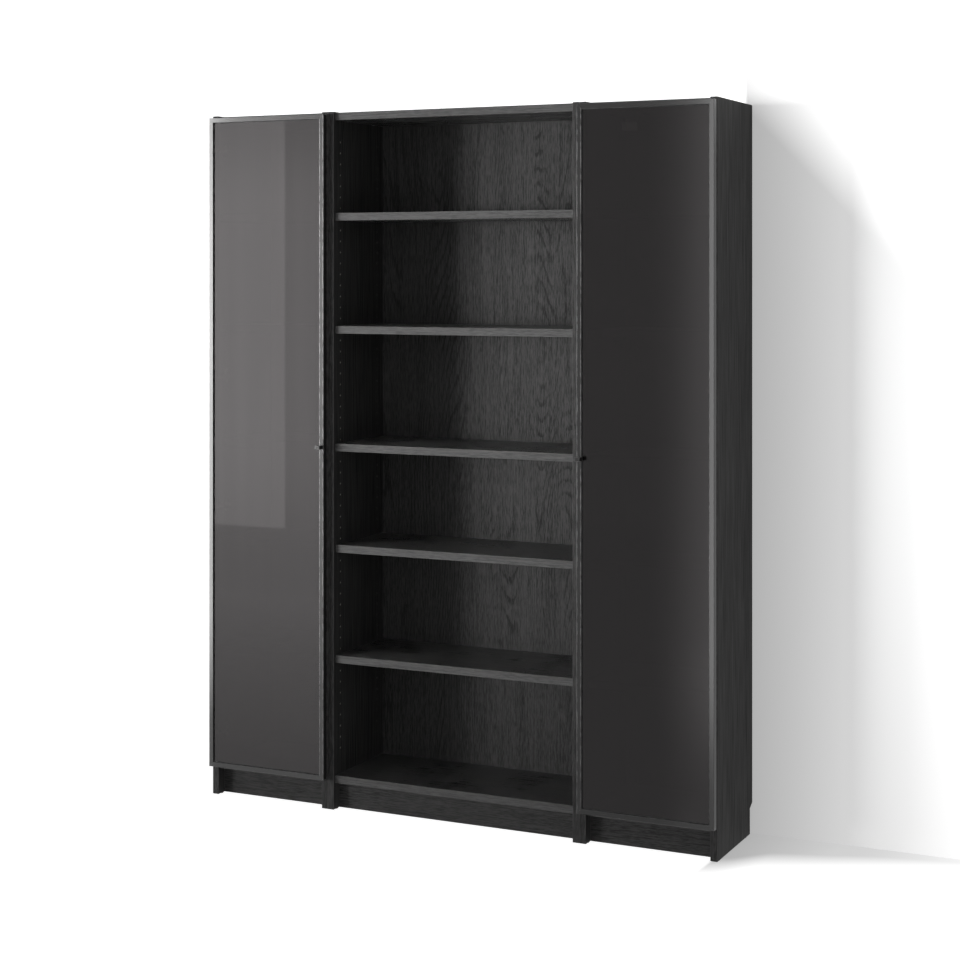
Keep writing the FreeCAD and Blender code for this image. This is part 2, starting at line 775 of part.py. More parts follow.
def rail(door, name, hand, at_top):
    """A level bar of the frame, with a mitre at each end."""
    body = new_body(f"{door}_{name}")
    section = new_sketch(body, "YZ_Plane")
    for loop in frame_section():
        add_outline(section, [(f"0 - ({depth})", from_end(at_top, width)) for width, depth in loop])
    pad(body, section, DOOR_WIDTH, backwards=hand < 0)
    outside = from_end(at_top, "0 - run_out")
    inside = from_end(at_top, "frame_width + run_out")
    triangles = []
    for at_free_edge in (False, True):
        past_end = from_edge(hand, at_free_edge, "0 - run_out")
        past_bar = from_edge(hand, at_free_edge, "frame_width + run_out")
        triangles.append([(past_end, outside), (past_end, inside), (past_bar, inside)])
    cut_corners(body, triangles)
    return body


def hinge_middle(step):
    """Height of a hinge's middle: halfway between its two grid holes."""
    return f"({hole_height(step)} + pin_grid_pitch / 2)"


def door_edge(hand):
    """X of a door's edge at the end of the row."""
    return f"(0 - {hand} * ({ROW_WIDTH} / 2 - door_edge_margin))"


def place_in_door(body, hand):
    place(body, door_edge(hand), DOOR_BACK, "door_bottom_height")
    keep(body, body.Name)


def door_frame(door, hand):
    hinge_stile = stile(door, "hinge_stile", hand, at_free_edge=False)
    openings = new_sketch(hinge_stile, "XZ_Plane")
    screw_holes = []
    for step in HINGE_STEPS:
        middle = f"({hinge_middle(step)} - door_bottom_height)"
        add_rectangle(openings, f"{hand} * frame_wall", f"{middle} - hinge_pocket_height / 2",
                      f"{hand} * (frame_width + run_out)", f"{middle} + hinge_pocket_height / 2")
        screw_holes.append((f"{hand} * pivot_inset", f"{middle} - shoe_screw_spread"))
        screw_holes.append((f"{hand} * pivot_inset", f"{middle} + shoe_screw_spread"))
    pocket(hinge_stile, openings, POCKET_DEPTH, along_normal=True)
    bores(hinge_stile, "XZ_Plane", POCKET_DEPTH, screw_holes, "shoe_screw_radius + bore_clearance",
          "shoe_screw_length", True)
    knob_stile = stile(door, "knob_stile", hand, at_free_edge=True)
    knob_hole = [(f"{hand} * ({DOOR_WIDTH} - knob_screw_inset)", f"{DOOR_HEIGHT} / 2")]
    bores(knob_stile, "XZ_Plane", "0", knob_hole, "screw_head_radius + bore_clearance",
          "frame_wall + run_out", True)
    bores(knob_stile, "XZ_Plane", "0", knob_hole, "knob_screw_radius + bore_clearance",
          "door_thickness", True)
    top_rail = rail(door, "top_rail", hand, at_top=True)
    bottom_rail = rail(door, "bottom_rail", hand, at_top=False)
    for body in (hinge_stile, knob_stile, top_rail, bottom_rail):
        place_in_door(body, hand)


def inset_box(name, inset, back, front):
    """A box inside the door's outline, between two depths from the door's back."""
    piece = doc.addObject("Part::Box", name)
    piece.setExpression("Length", sized(f"{DOOR_WIDTH} - 2 * ({inset})"))
    piece.setExpression("Width", sized(f"({front}) - ({back})"))
    piece.setExpression("Height", sized(f"{DOOR_HEIGHT} - 2 * ({inset})"))
    return piece


def place_inset(piece, hand, inset, front):
    left = door_edge(hand) if hand > 0 else f"({door_edge(hand)} - {DOOR_WIDTH})"
    place(piece, f"{left} + {inset}", f"{DOOR_BACK} - ({front})", f"door_bottom_height + {inset}")


def glass_and_gasket(door, hand):
    """The pane, and the soft channel that holds its edges in the frame's groove."""
    glass = inset_box(f"{door}_glass", GLASS_INSET, GLASS_BACK, GLASS_FRONT)
    place_inset(glass, hand, GLASS_INSET, GLASS_FRONT)
    outer_back = f"{GLASS_BACK} - gasket_thickness"
    outer_front = f"{GLASS_FRONT} + gasket_thickness"
    outside = inset_box(f"{door}_gasket_outside", GASKET_INSET, outer_back, outer_front)
    place_inset(outside, hand, GASKET_INSET, outer_front)
    slot = inset_box(f"{door}_gasket_slot", GLASS_INSET, GLASS_BACK, GLASS_FRONT)
    place_inset(slot, hand, GLASS_INSET, GLASS_FRONT)
    window_inset = "(frame_width + gasket_reveal)"
    window = inset_box(f"{door}_gasket_window", window_inset, outer_back, outer_front)
    place_inset(window, hand, window_inset, outer_front)
    ring = doc.addObject("Part::Cut", f"{door}_gasket_ring")
    ring.Base = outside
    ring.Tool = window
    gasket = doc.addObject("Part::Cut", f"{door}_gasket")
    gasket.Base = ring
    gasket.Tool = slot
    doc.recompute()
    keep(glass, f"{door}_glass")
    keep(gasket, f"{door}_gasket")


def knob(door, hand):
    """The square bar knob, held by a screw from inside the frame."""
    body = new_body(f"{door}_knob")
    section = new_sketch(body, "XZ_Plane", "door_thickness")
    x = f"{hand} * ({DOOR_WIDTH} - knob_inset)"
    middle = f"{DOOR_HEIGHT} / 2"
    add_rectangle(section, f"{x} - knob_width / 2", f"{middle} - knob_height / 2",
                  f"{x} + knob_width / 2", f"{middle} + knob_height / 2")
    pad(body, section, "knob_length")
    frame_face = value("0 - door_thickness")

    def stands_out(edge):
        return edge.BoundBox.YMin < frame_face - SAME_PLACE

    round_edges(body, stands_out, "knob_arris")
    screw_hole = [(f"{hand} * ({DOOR_WIDTH} - knob_screw_inset)", middle)]
    bores(body, "XZ_Plane", "door_thickness", screw_hole, "knob_screw_radius + bore_clearance",
          f"knob_screw_length - (door_thickness - {POCKET_DEPTH}) + run_out", True)
    place_in_door(body, hand)


def door_point(hand, inset, depth, height):
    """A point of a closed door: in from its edge, forward of its back, above the floor."""
    return (value(door_edge(hand)) + hand * inset, value(DOOR_BACK) - depth, height)


def door_block(hand, inset0, inset1, depth0, depth1, low, high):
    x0, y0, z0 = door_point(hand, inset0, depth0, low)
    x1, y1, z1 = door_point(hand, inset1, depth1, high)
    return box(x0, y0, z0, x1, y1, z1)


def corner_cleats(door, hand):
    """Right-angled keys in the chambers of the frame, one across each mitre."""
    near = value("frame_wall + cleat_clearance")
    far = value("frame_width - frame_wall - cleat_clearance")
    front = value(f"{POCKET_DEPTH} - cleat_clearance")
    reach = value("cleat_length")
    width = value(DOOR_WIDTH)
    low = value("door_bottom_height")
    height = value(DOOR_HEIGHT)
    shapes = []
    for edge, inwards in ((0, 1), (width, -1)):
        for end, upwards in ((low, 1), (low + height, -1)):
            x_near, x_far, x_reach = (edge + inwards * inset for inset in (near, far, reach))
            z_near, z_far, z_reach = (end + upwards * inset for inset in (near, far, reach))
            upright = door_block(hand, x_near, x_far, near, front, z_near, z_reach)
            level = door_block(hand, x_near, x_reach, near, front, z_near, z_far)
            shapes.append(upright.fuse(level).removeSplitter())
    group(f"{door}_corner_cleats", shapes)


def up_rod(hand, inset, depth, low, high, radius):
    return rod(door_point(hand, inset, depth, low), (0, 0, 1), high - low, radius)


def hinge_shoes(door, hand):
    """The moving half of each hinge: a shoe screwed into the stile, and its pivot pin."""
    inset = value("pivot_inset")
    depth = value("pivot_depth")
    pin_radius = value("pivot_pin_radius")
    pin_head_radius = value("pivot_head_radius")
    clearance = value("pivot_running_clearance")
    near = value("frame_wall + panel_clearance")
    far = value("frame_width - frame_wall - panel_clearance")
    floor = value(POCKET_DEPTH)
    web_back = floor - value("shoe_web_thickness")
    ear_low = value("arm_height / 2 + shoe_ear_gap")
    ear_high = ear_low + value("shoe_plate_thickness")
    half_web = value("hinge_pocket_height / 2 - shoe_end_gap")
    spread = value("shoe_screw_spread")
    screw_radius = value("shoe_screw_radius")
    head_height = value("shoe_screw_head_height")
    shoes = []
    pins = []
    screws = []
    for step in HINGE_STEPS:
        z = value(hinge_middle(step))
        shoe = door_block(hand, near, far, web_back, floor, z - half_web, z + half_web)
        for side in (-1, 1):
            edges = sorted((z + side * ear_low, z + side * ear_high))
            ear = door_block(hand, near, far, value("shoe_ear_gap"), floor, *edges)
            shoe = shoe.fuse(ear)
        shoe = shoe.removeSplitter()
        hole = up_rod(hand, inset, depth, z - ear_high, z + ear_high, pin_radius + clearance)
        shoe = shoe.cut(hole)
        pin = up_rod(hand, inset, depth, z - ear_high, z + ear_high, pin_radius)
        for side in (-1, 1):
            edges = sorted((z + side * ear_high, z + side * (ear_high + head_height)))
            pin = pin.fuse(up_rod(hand, inset, depth, *edges, pin_head_radius))
            screw_z = z + side * spread
            start = door_point(hand, inset, web_back, screw_z)
            hole = rod(start, (0, -1, 0), floor - web_back, screw_radius + value("bore_clearance"))
            shoe = shoe.cut(hole)
            shank = rod(start, (0, -1, 0), value("shoe_screw_length"), screw_radius)
            head = rod(start, (0, 1, 0), head_height, value("shoe_screw_head_radius"))
            screws.append(shank.fuse(head))
        shoes.append(shoe)
        pins.append(pin)
    group(f"{door}_hinge_shoes", shoes)
    group(f"{door}_hinge_pins", pins)
    knob_z = value(f"door_bottom_height + {DOOR_HEIGHT} / 2")
    start = door_point(hand, value(f"{DOOR_WIDTH} - knob_screw_inset"), floor, knob_z)
    shank = rod(start, (0, -1, 0), value("knob_screw_length"), value("knob_screw_radius"))
    head_radius = value("screw_head_radius - panel_clearance")
    head = rod(start, (0, 1, 0), value("screw_head_height"), head_radius)
    screws.append(shank.fuse(head))
    group(f"{door}_screws", screws)


def hinge_arms():
    """The fixed half of each hinge: a plate on the side, a cranked arm and their screws."""
    depth = value("door_gap + pivot_depth")
    inset = value("door_edge_margin + pivot_inset")
    face = value("side_thickness")
    plate_top = face + value("plate_thickness")
    thickness = value("arm_thickness")
    arm_top = plate_top + thickness
    half_arm = value("arm_height / 2")
    row = value("pin_row_front")
    rail_front = value("plate_rail_front")
    rail_back = 2 * row - rail_front
    half_wing = value("plate_wing_width / 2")
    half_height = value("plate_wing_height / 2")
    half_rail = value("plate_rail_height / 2")
    half_pitch = value("pin_grid_pitch / 2")
    shank = value("screw_shank_radius")
    clearance = value("bore_clearance")
    arm_back = value("arm_length") - depth
    arm_screw = (rail_back + row + half_wing) / 2
    bore_radius = value("pivot_pin_radius + pivot_running_clearance")
    plate_screw_length = value("pin_hole_depth - run_out") + plate_top - face
    front = value(FRONT)
    plates = []
    arms = []
    screws = []
    for hand in (1, -1):
        end = value(f"0 - {hand} * {ROW_WIDTH} / 2")

        def block(u0, u1, y0, y1, z0, z1):
            return box(end + hand * u0, front + y0, z0, end + hand * u1, front + y1, z1)

        def across(u, y, z, length, radius):
            return rod((end + hand * u, front + y, z), (hand, 0, 0), length, radius)

        def screw(u, y, z, length):
            head = across(u, y, z, value("screw_head_height"), value("screw_head_radius"))
            return head.fuse(rod((end + hand * u, front + y, z), (-hand, 0, 0), length, shank))

        for step in HINGE_STEPS:
            z = value(hinge_middle(step))
            wing = block(face, plate_top, row - half_wing, row + half_wing,
                         z - half_height, z + half_height)
            spine = block(face, plate_top, rail_front, rail_back, z - half_rail, z + half_rail)
            plate = wing.fuse(spine).removeSplitter()
            for side in (-1, 1):
                screw_z = z + side * half_pitch
                plate = plate.cut(across(face, row, screw_z, plate_top - face, shank + clearance))
                screws.append(screw(plate_top, row, screw_z, plate_screw_length))
            arm_hole = across(face, arm_screw, z, arm_top - face, shank + clearance)
            plates.append(plate.cut(arm_hole))
            upright = block(plate_top, arm_top, -depth - thickness / 2, arm_back,
                            z - half_arm, z + half_arm)
            reach = block(inset, arm_top, -depth - thickness / 2, -depth + thickness / 2,
                          z - half_arm, z + half_arm)
            eye_start = (end + hand * inset, front - depth, z - half_arm)
            eye = rod(eye_start, (0, 0, 1), 2 * half_arm, value("arm_eye_radius"))
            bore = rod(eye_start, (0, 0, 1), 2 * half_arm, bore_radius)
            arm = upright.fuse(reach).fuse(eye).removeSplitter()
            arms.append(arm.cut(bore).cut(arm_hole))
            screws.append(screw(arm_top, arm_screw, z, arm_top - face))
    group("hinge_mounting_plates", plates)
    group("hinge_arms", arms)
    group("hinge_screws", screws)


for cabinet in CABINETS:
    side_panel(cabinet, 1)
    side_panel(cabinet, -1)
    for name in FIXED_BOARDS:
        fixed_board(cabinet, name)
    plinth(cabinet)
    back_panel(cabinet)
    shelves = [shelf(cabinet, number) for number in range(1, len(SHELVES) + 1)]
    if cabinet == "middle_cabinet":
        for piece in shelves:
            keep(piece, piece.Name)
    else:
        stack = doc.addObject("Part::Compound", f"{cabinet}_shelves")
        stack.Links = shelves
        keep(stack, stack.Name)

shelf_pins()
cam_fittings()
dowels()
back_nails()
glides()
wall_brackets()
hinge_arms()
for door, hand in (("left_door", 1), ("right_door", -1)):
    door_frame(door, hand)
    glass_and_gasket(door, hand)
    knob(door, hand)
    corner_cleats(door, hand)
    hinge_shoes(door, hand)

doc.recompute()
for piece in doc.Objects:
    if "Invalid" in piece.State or "Error" in piece.State:
        raise RuntimeError(f"{piece.Label} failed to build: {piece.State}")
for piece in parts:
    if piece.Shape.isNull() or not piece.Shape.isValid():
        raise RuntimeError(f"{piece.Label} has no valid shape")

os.makedirs("parts", exist_ok=True)
for piece in parts:
    piece.Shape.exportStep(f"parts/{piece.Label}.step")
print(len(parts), "sub-parts")
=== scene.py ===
"""A row of three bookcases in black-brown oak: an open one between two with dark glass doors."""
import math
import random

import bmesh
import bpy
from mathutils import Matrix, Vector


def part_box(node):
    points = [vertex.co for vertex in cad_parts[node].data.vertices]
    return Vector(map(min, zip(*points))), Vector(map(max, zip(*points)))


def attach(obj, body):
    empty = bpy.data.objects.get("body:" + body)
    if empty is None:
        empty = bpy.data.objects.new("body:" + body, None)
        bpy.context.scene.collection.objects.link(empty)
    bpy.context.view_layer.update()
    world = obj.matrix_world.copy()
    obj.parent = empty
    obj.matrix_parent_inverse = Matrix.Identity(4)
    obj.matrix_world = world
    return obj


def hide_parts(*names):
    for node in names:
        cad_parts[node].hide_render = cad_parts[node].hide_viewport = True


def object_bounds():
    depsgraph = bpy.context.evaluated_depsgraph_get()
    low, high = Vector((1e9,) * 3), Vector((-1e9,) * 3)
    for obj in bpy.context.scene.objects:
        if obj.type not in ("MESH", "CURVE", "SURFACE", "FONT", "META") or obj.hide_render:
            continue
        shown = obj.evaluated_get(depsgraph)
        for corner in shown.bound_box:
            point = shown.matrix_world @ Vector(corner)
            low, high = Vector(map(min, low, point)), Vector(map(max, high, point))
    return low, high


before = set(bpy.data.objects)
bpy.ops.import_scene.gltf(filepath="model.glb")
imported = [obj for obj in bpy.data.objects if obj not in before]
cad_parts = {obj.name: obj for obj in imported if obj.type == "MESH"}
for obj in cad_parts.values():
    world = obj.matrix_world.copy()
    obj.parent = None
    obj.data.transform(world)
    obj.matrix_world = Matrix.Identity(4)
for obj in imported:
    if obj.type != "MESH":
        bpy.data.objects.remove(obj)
cad_low, cad_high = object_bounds()

# The photograph's frame in pixels, and the camera that was fitted to it (metres, radians)
PHOTO_WIDTH = 960
FOCAL_PIXELS = 1821.47
PRINCIPAL_POINT = (621.805, 269.899)
CAMERA_PLACE = (2.46128, -4.62739, 1.56279)
CAMERA_YAW = 0.4055
SENSOR_WIDTH = 36

# Brightness that gloss on the object's front shows of the studio behind the camera
MIRRORED_FRONT = 0.72

# Height of the middle of the lamps that light the shelves from the left front
KEY_HEIGHT = 1.42

# The sheet of light cloth that gloss shows, and its sheen on the floor
CLOTH_LEFT = -4.6
CLOTH_RIGHT = 1.2
CLOTH_AWAY = -3
CLOTH_TOP = 3.6
SHEEN_NEAR = -0.3
JUST_OVER_FLOOR = 0.002

# Side step, for each metre away from the row, of the rays that the camera sees mirrored in the
# left door's outer stile, in the middle of the row and in the right door's outer stile
LEFT_SLANT = 0.727
MIDDLE_SLANT = 0.547
RIGHT_SLANT = 0.3715

# Edges on the cloth: the bright window's right side and foot, and where the strips of lamp for
# the left and the right door's outer stile begin, once their slants are taken off
WINDOW_RIGHT = -2.438
WINDOW_FOOT = 0.321
LEFT_STRIP = -0.682
RIGHT_STRIP = 0.838

# How far the studio's paper reaches, and the gap between it and the row's back
PAPER_REACH = 14
WALL_GAP = 0.0015

# The shelf-pin holes: height of the lowest, distance of a row from the board's edge
LOWEST_PIN_HOLE = 0.1735
PIN_ROW_INSET = 0.037

# Sizes that a screw is made from
SCREW_SIZES = ("Head Radius", "Head Height", "Shank Radius", "Shank Length")

# A cross-head screw's form. The top and the recess are shares of the head's radius, the recess's
# height is one of the head's height, and the tip's two are shares of the shank's radius.
HEAD_TOP = 0.74
RECESS_LENGTH = 1.15
RECESS_WIDTH = 0.24
RECESS_HEIGHT = 1.3
TIP_LENGTH = 1.6
TIP_POINT = 0.2

# Faces round a screw's head and its shank
HEAD_SIDES = 24
SHANK_SIDES = 14

# How the grain lies in each kind of board: the rows say which of X, Y and Z run across it,
# through the board and along it
GRAIN_TURNS = {
    "side": ((0, -1, 0), (1, 0, 0), (0, 0, 1)),
    "back": ((1, 0, 0), (0, 1, 0), (0, 0, 1)),
    "shelf": ((0, 1, 0), (0, 0, 1), (1, 0, 0)),
    "plinth": ((0, 0, -1), (0, 1, 0), (1, 0, 0)),
}


# Node trees


def link(tree, source, socket):
    """Join an output to an input, or set the input to a number, colour or vector."""
    if isinstance(source, bpy.types.NodeSocket):
        tree.links.new(source, socket)
    else:
        socket.default_value = source


def add(tree, kind, inputs=None, **settings):
    made = tree.nodes.new(kind)
    for name, setting in settings.items():
        setattr(made, name, setting)
    for name, source in (inputs or {}).items():
        link(tree, source, made.inputs[name])
    return made


def calc(tree, operation, *terms, clamp=False):
    made = add(tree, "ShaderNodeMath", operation=operation, use_clamp=clamp)
    for socket, term in zip(made.inputs, terms):
        link(tree, term, socket)
    return made.outputs[0]


def vector_calc(tree, operation, *terms):
    made = add(tree, "ShaderNodeVectorMath", operation=operation)
    for socket, term in zip(made.inputs, terms):
        link(tree, term, socket)
    return made.outputs["Value" if operation in ("LENGTH", "DOT_PRODUCT") else "Vector"]


def scaled(tree, vector, factor):
    made = add(tree, "ShaderNodeVectorMath", operation="SCALE")
    link(tree, vector, made.inputs["Vector"])
    link(tree, factor, made.inputs["Scale"])
    return made.outputs["Vector"]


def noise(tree, vector, detail=2.0, roughness=0.5):
    made = add(tree, "ShaderNodeTexNoise",
               {"Vector": vector, "Scale": 1.0, "Detail": detail, "Roughness": roughness})
    return made.outputs["Fac"]


def ramp(tree, source, low, high, to_low=0.0, to_high=1.0, smooth=True):
    """Map a value from one range to another, and hold it there."""
    made = add(tree, "ShaderNodeMapRange",
               {"Value": source, "From Min": low, "From Max": high, "To Min": to_low, "To Max": to_high},
               interpolation_type="SMOOTHSTEP" if smooth else "LINEAR")
    return made.outputs["Result"]


def blend_colour(tree, factor, first, second):
    """Mix two colours. The node's colour sockets follow those for numbers and vectors."""
    made = add(tree, "ShaderNodeMix", data_type="RGBA")
    link(tree, factor, made.inputs[0])
    link(tree, first, made.inputs[6])
    link(tree, second, made.inputs[7])
    return made.outputs[2]


def new_group(name, inputs, outputs):
    """A shader node group with named sockets. Returns its tree, input node and output node."""
    tree = bpy.data.node_groups.new(name, "ShaderNodeTree")
    for socket_name, kind, default in inputs:
        socket = tree.interface.new_socket(socket_name, in_out="INPUT", socket_type=f"NodeSocket{kind}")
        if default is not None:
            socket.default_value = default
    for socket_name, kind in outputs:
        tree.interface.new_socket(socket_name, in_out="OUTPUT", socket_type=f"NodeSocket{kind}")
    return tree, tree.nodes.new("NodeGroupInput").outputs, tree.nodes.new("NodeGroupOutput").inputs


def place_group(tree, group, inputs):
    made = tree.nodes.new("ShaderNodeGroup")
    made.node_tree = group
    for name, source in inputs.items():
        link(tree, source, made.inputs[name])
    return made.outputs


# Shared effects


def oak_grain_group():
    """Stained oak: lines where the growth rings meet the surface, open pores and soft streaks.
    Each noise has its scale per metre, twice across the grain and then along it."""
    tree, given, out = new_group(
        "Oak grain",
        [("Vector", "Vector", None), ("Figure", "Float", 20.0), ("Lines Per Metre", "Float", 50.0),
         ("Line Depth", "Float", 0.6), ("Pore Depth", "Float", 0.5), ("Mottle", "Float", 0.3)],
        [("Tone", "Float"), ("Height", "Float")])
    vector = given["Vector"]
    field = noise(tree, vector_calc(tree, "MULTIPLY", vector, (3.6, 3.6, 0.55)), detail=2.0, roughness=0.4)
    split = add(tree, "ShaderNodeSeparateXYZ", {"Vector": vector}).outputs
    across = calc(tree, "ADD", split["X"], split["Y"])
    straight = calc(tree, "MULTIPLY", across, given["Lines Per Metre"])
    rings = calc(tree, "ADD", calc(tree, "MULTIPLY", field, given["Figure"]), straight)
    ragged = noise(tree, vector_calc(tree, "MULTIPLY", vector, (150, 150, 9)), detail=2.0)
    rings = calc(tree, "ADD", rings, calc(tree, "MULTIPLY", ragged, 0.6))
    phase = calc(tree, "FRACT", rings)
    early = calc(tree, "MULTIPLY", ramp(tree, phase, 0.0, 0.12), ramp(tree, phase, 0.42, 0.12))
    which = noise(tree, vector_calc(tree, "MULTIPLY", vector, (24, 24, 2.2)), detail=2.0)
    line = calc(tree, "MULTIPLY", early, ramp(tree, which, 0.42, 0.64))
    cells = noise(tree, vector_calc(tree, "MULTIPLY", vector, (800, 800, 13)), detail=0.0)
    pores = calc(tree, "MULTIPLY", ramp(tree, cells, 0.54, 0.66), ramp(tree, early, 0.0, 0.8, 0.35, 1.0))
    fibre = noise(tree, vector_calc(tree, "MULTIPLY", vector, (340, 340, 6)), detail=3.0, roughness=0.6)
    streak = noise(tree, vector_calc(tree, "MULTIPLY", vector, (26, 26, 1.1)), detail=2.0)
    mottle = calc(tree, "MULTIPLY", ramp(tree, fibre, 0.25, 0.75, -1, 1, False), given["Mottle"])
    light = calc(tree, "ADD", ramp(tree, streak, 0.2, 0.8, -0.07, 0.07, False), mottle)
    dark = calc(tree, "ADD", calc(tree, "MULTIPLY", line, given["Line Depth"]),
                calc(tree, "MULTIPLY", pores, given["Pore Depth"]))
    tone = calc(tree, "SUBTRACT", calc(tree, "ADD", light, 0.62), dark, clamp=True)
    link(tree, tone, out["Tone"])
    height = calc(tree, "SUBTRACT", calc(tree, "MULTIPLY", fibre, 0.5),
                  calc(tree, "ADD", calc(tree, "MULTIPLY", line, 0.4), pores))
    link(tree, height, out["Height"])
    return tree


def arris_highlight_group():
    """A mask along the edges of a straight piece, from its lowest and highest corner.
    It marks where a lighter colour is painted as an edge highlight.
    """
    tree, given, out = new_group(
        "Arris highlight",
        [("Low", "Vector", None), ("High", "Vector", None), ("Width", "Float", 0.0015)],
        [("Mask", "Float")])
    point = add(tree, "ShaderNodeTexCoord").outputs["Object"]
    above = vector_calc(tree, "SUBTRACT", point, given["Low"])
    below = vector_calc(tree, "SUBTRACT", given["High"], point)
    nearest = vector_calc(tree, "MINIMUM", above, below)
    split = add(tree, "ShaderNodeSeparateXYZ", {"Vector": nearest}).outputs
    pairs = [calc(tree, "MAXIMUM", split[a], split[b]) for a, b in (("X", "Y"), ("Y", "Z"), ("Z", "X"))]
    distance = calc(tree, "MINIMUM", calc(tree, "MINIMUM", pairs[0], pairs[1]), pairs[2])
    # Uneven width of the painted edge highlight
    breakup = noise(tree, vector_calc(tree, "MULTIPLY", point, (60, 60, 60)), detail=3.0)
    reach = calc(tree, "MULTIPLY", given["Width"], ramp(tree, breakup, 0.3, 0.7, 0.6, 1.5))
    link(tree, ramp(tree, calc(tree, "DIVIDE", distance, reach), 1.0, 0.35), out["Mask"])
    return tree


def dust_and_top_light_group():
    """Fine dust that lies on faces that look up. Laid on thicker, it is painted light on those faces."""
    tree, given, out = new_group("Dust and top light", [("Amount", "Float", 0.3)], [("Mask", "Float")])
    point = add(tree, "ShaderNodeTexCoord").outputs["Object"]
    normal = add(tree, "ShaderNodeNewGeometry").outputs["Normal"]
    up = ramp(tree, add(tree, "ShaderNodeSeparateXYZ", {"Vector": normal}).outputs["Z"], 0.5, 0.95)
    patches = noise(tree, vector_calc(tree, "MULTIPLY", point, (7, 7, 7)), detail=3.0)
    patches = ramp(tree, patches, 0.3, 0.75)
    specks = noise(tree, vector_calc(tree, "MULTIPLY", point, (900, 900, 900)), detail=1.0)
    specks = ramp(tree, specks, 0.5, 0.75)
    lie = calc(tree, "MULTIPLY", calc(tree, "ADD", patches, calc(tree, "MULTIPLY", specks, 0.5)), up)
    link(tree, calc(tree, "MULTIPLY", lie, given["Amount"]), out["Mask"])
    return tree


def pin_hole_group():
    """A mask for the bare chipboard inside one row of a side panel's shelf-pin holes."""
    tree, given, out = new_group(
        "Drilled rows",
        [("Lowest Hole", "Float", 0.0), ("Pitch", "Float", 0.032), ("Row", "Float", 0.0),
         ("Radius", "Float", 0.0027), ("Outer Face", "Float", 0.0),
         ("Bottom", "Float", 0.0085), ("Mouth", "Float", 0.0195)],
        [("Mask", "Float")])
    point = add(tree, "ShaderNodeTexCoord").outputs["Object"]
    split = add(tree, "ShaderNodeSeparateXYZ", {"Vector": point}).outputs
    x, y, z = (split[axis] for axis in "XYZ")
    step = calc(tree, "SUBTRACT", z, given["Lowest Hole"])
    nearest = calc(tree, "MULTIPLY", calc(tree, "ROUND", calc(tree, "DIVIDE", step, given["Pitch"])),
                   given["Pitch"])
    rise = calc(tree, "SUBTRACT", step, nearest)
    aside = calc(tree, "ABSOLUTE", calc(tree, "SUBTRACT", y, given["Row"]))
    flat = add(tree, "ShaderNodeCombineXYZ", {"X": rise, "Y": aside}).outputs[0]
    near = calc(tree, "LESS_THAN", vector_calc(tree, "LENGTH", flat), given["Radius"])
    depth = calc(tree, "ABSOLUTE", calc(tree, "SUBTRACT", x, given["Outer Face"]))
    inside = calc(tree, "MULTIPLY", calc(tree, "GREATER_THAN", depth, given["Bottom"]),
                  calc(tree, "LESS_THAN", depth, given["Mouth"]))
    link(tree, calc(tree, "MULTIPLY", near, inside), out["Mask"])
    return tree


def fine_coat_group():
    """The faint ripple of powder coat on a drawn bar, and broad clouds in its gloss."""
    tree, given, out = new_group(
        "Fine coat", [("Vector", "Vector", None), ("Grain", "Float", 1500.0)],
        [("Tone", "Float"), ("Height", "Float")])
    fine = noise(tree, scaled(tree, given["Vector"], given["Grain"]), detail=1.0)
    drawn = noise(tree, vector_calc(tree, "MULTIPLY", given["Vector"], (700, 700, 9)), detail=1.0)
    clouds = noise(tree, vector_calc(tree, "MULTIPLY", given["Vector"], (11, 11, 3)), detail=3.0)
    tone = calc(tree, "ADD", calc(tree, "MULTIPLY", drawn, 0.4), calc(tree, "MULTIPLY", clouds, 0.6))
    link(tree, tone, out["Tone"])
    link(tree, fine, out["Height"])
    return tree


def mitre_group():
    """A mask on the fine joint lines at the corners of a mitred frame."""
    tree, given, out = new_group(
        "Mitre joints",
        [("Low", "Vector", None), ("High", "Vector", None),
         ("Bar", "Float", 0.0142), ("Gap", "Float", 0.0004)],
        [("Mask", "Float")])
    point = add(tree, "ShaderNodeTexCoord").outputs["Object"]
    nearest = vector_calc(tree, "MINIMUM", vector_calc(tree, "SUBTRACT", point, given["Low"]),
                          vector_calc(tree, "SUBTRACT", given["High"], point))
    split = add(tree, "ShaderNodeSeparateXYZ", {"Vector": nearest}).outputs
    aside = calc(tree, "ABSOLUTE", calc(tree, "SUBTRACT", split["X"], split["Z"]))
    on_line = ramp(tree, calc(tree, "DIVIDE", aside, given["Gap"]), 1.0, 0.5)
    corner = calc(tree, "LESS_THAN", calc(tree, "MAXIMUM", split["X"], split["Z"]), given["Bar"])
    link(tree, calc(tree, "MULTIPLY", on_line, corner), out["Mask"])
    return tree


OAK_GRAIN = oak_grain_group()
ARRIS_HIGHLIGHT = arris_highlight_group()
DUST_AND_TOP_LIGHT = dust_and_top_light_group()
PIN_HOLES = pin_hole_group()
FINE_COAT = fine_coat_group()
MITRES = mitre_group()


# Materials


def new_material(name):
    """A material with a bare Principled shader. Returns it, its tree and the shader's inputs."""
    material = bpy.data.materials.new(name)
    material.use_nodes = True
    tree = material.node_tree
    tree.nodes.clear()
    shader = tree.nodes.new("ShaderNodeBsdfPrincipled")
    output = tree.nodes.new("ShaderNodeOutputMaterial")
    tree.links.new(shader.outputs["BSDF"], output.inputs["Surface"])
    return material, tree, shader.inputs


def bump(tree, height, strength, distance):
    made = add(tree, "ShaderNodeBump", {"Height": height, "Strength": strength, "Distance": distance})
    return made.outputs["Normal"]


def turned_coordinates(tree, turn, offset):
    point = add(tree, "ShaderNodeTexCoord").outputs["Object"]
    rotation = Matrix(turn).to_euler()
    mapping = add(tree, "ShaderNodeMapping", {"Vector": point, "Location": offset, "Rotation": rotation})
    return mapping.outputs[0]


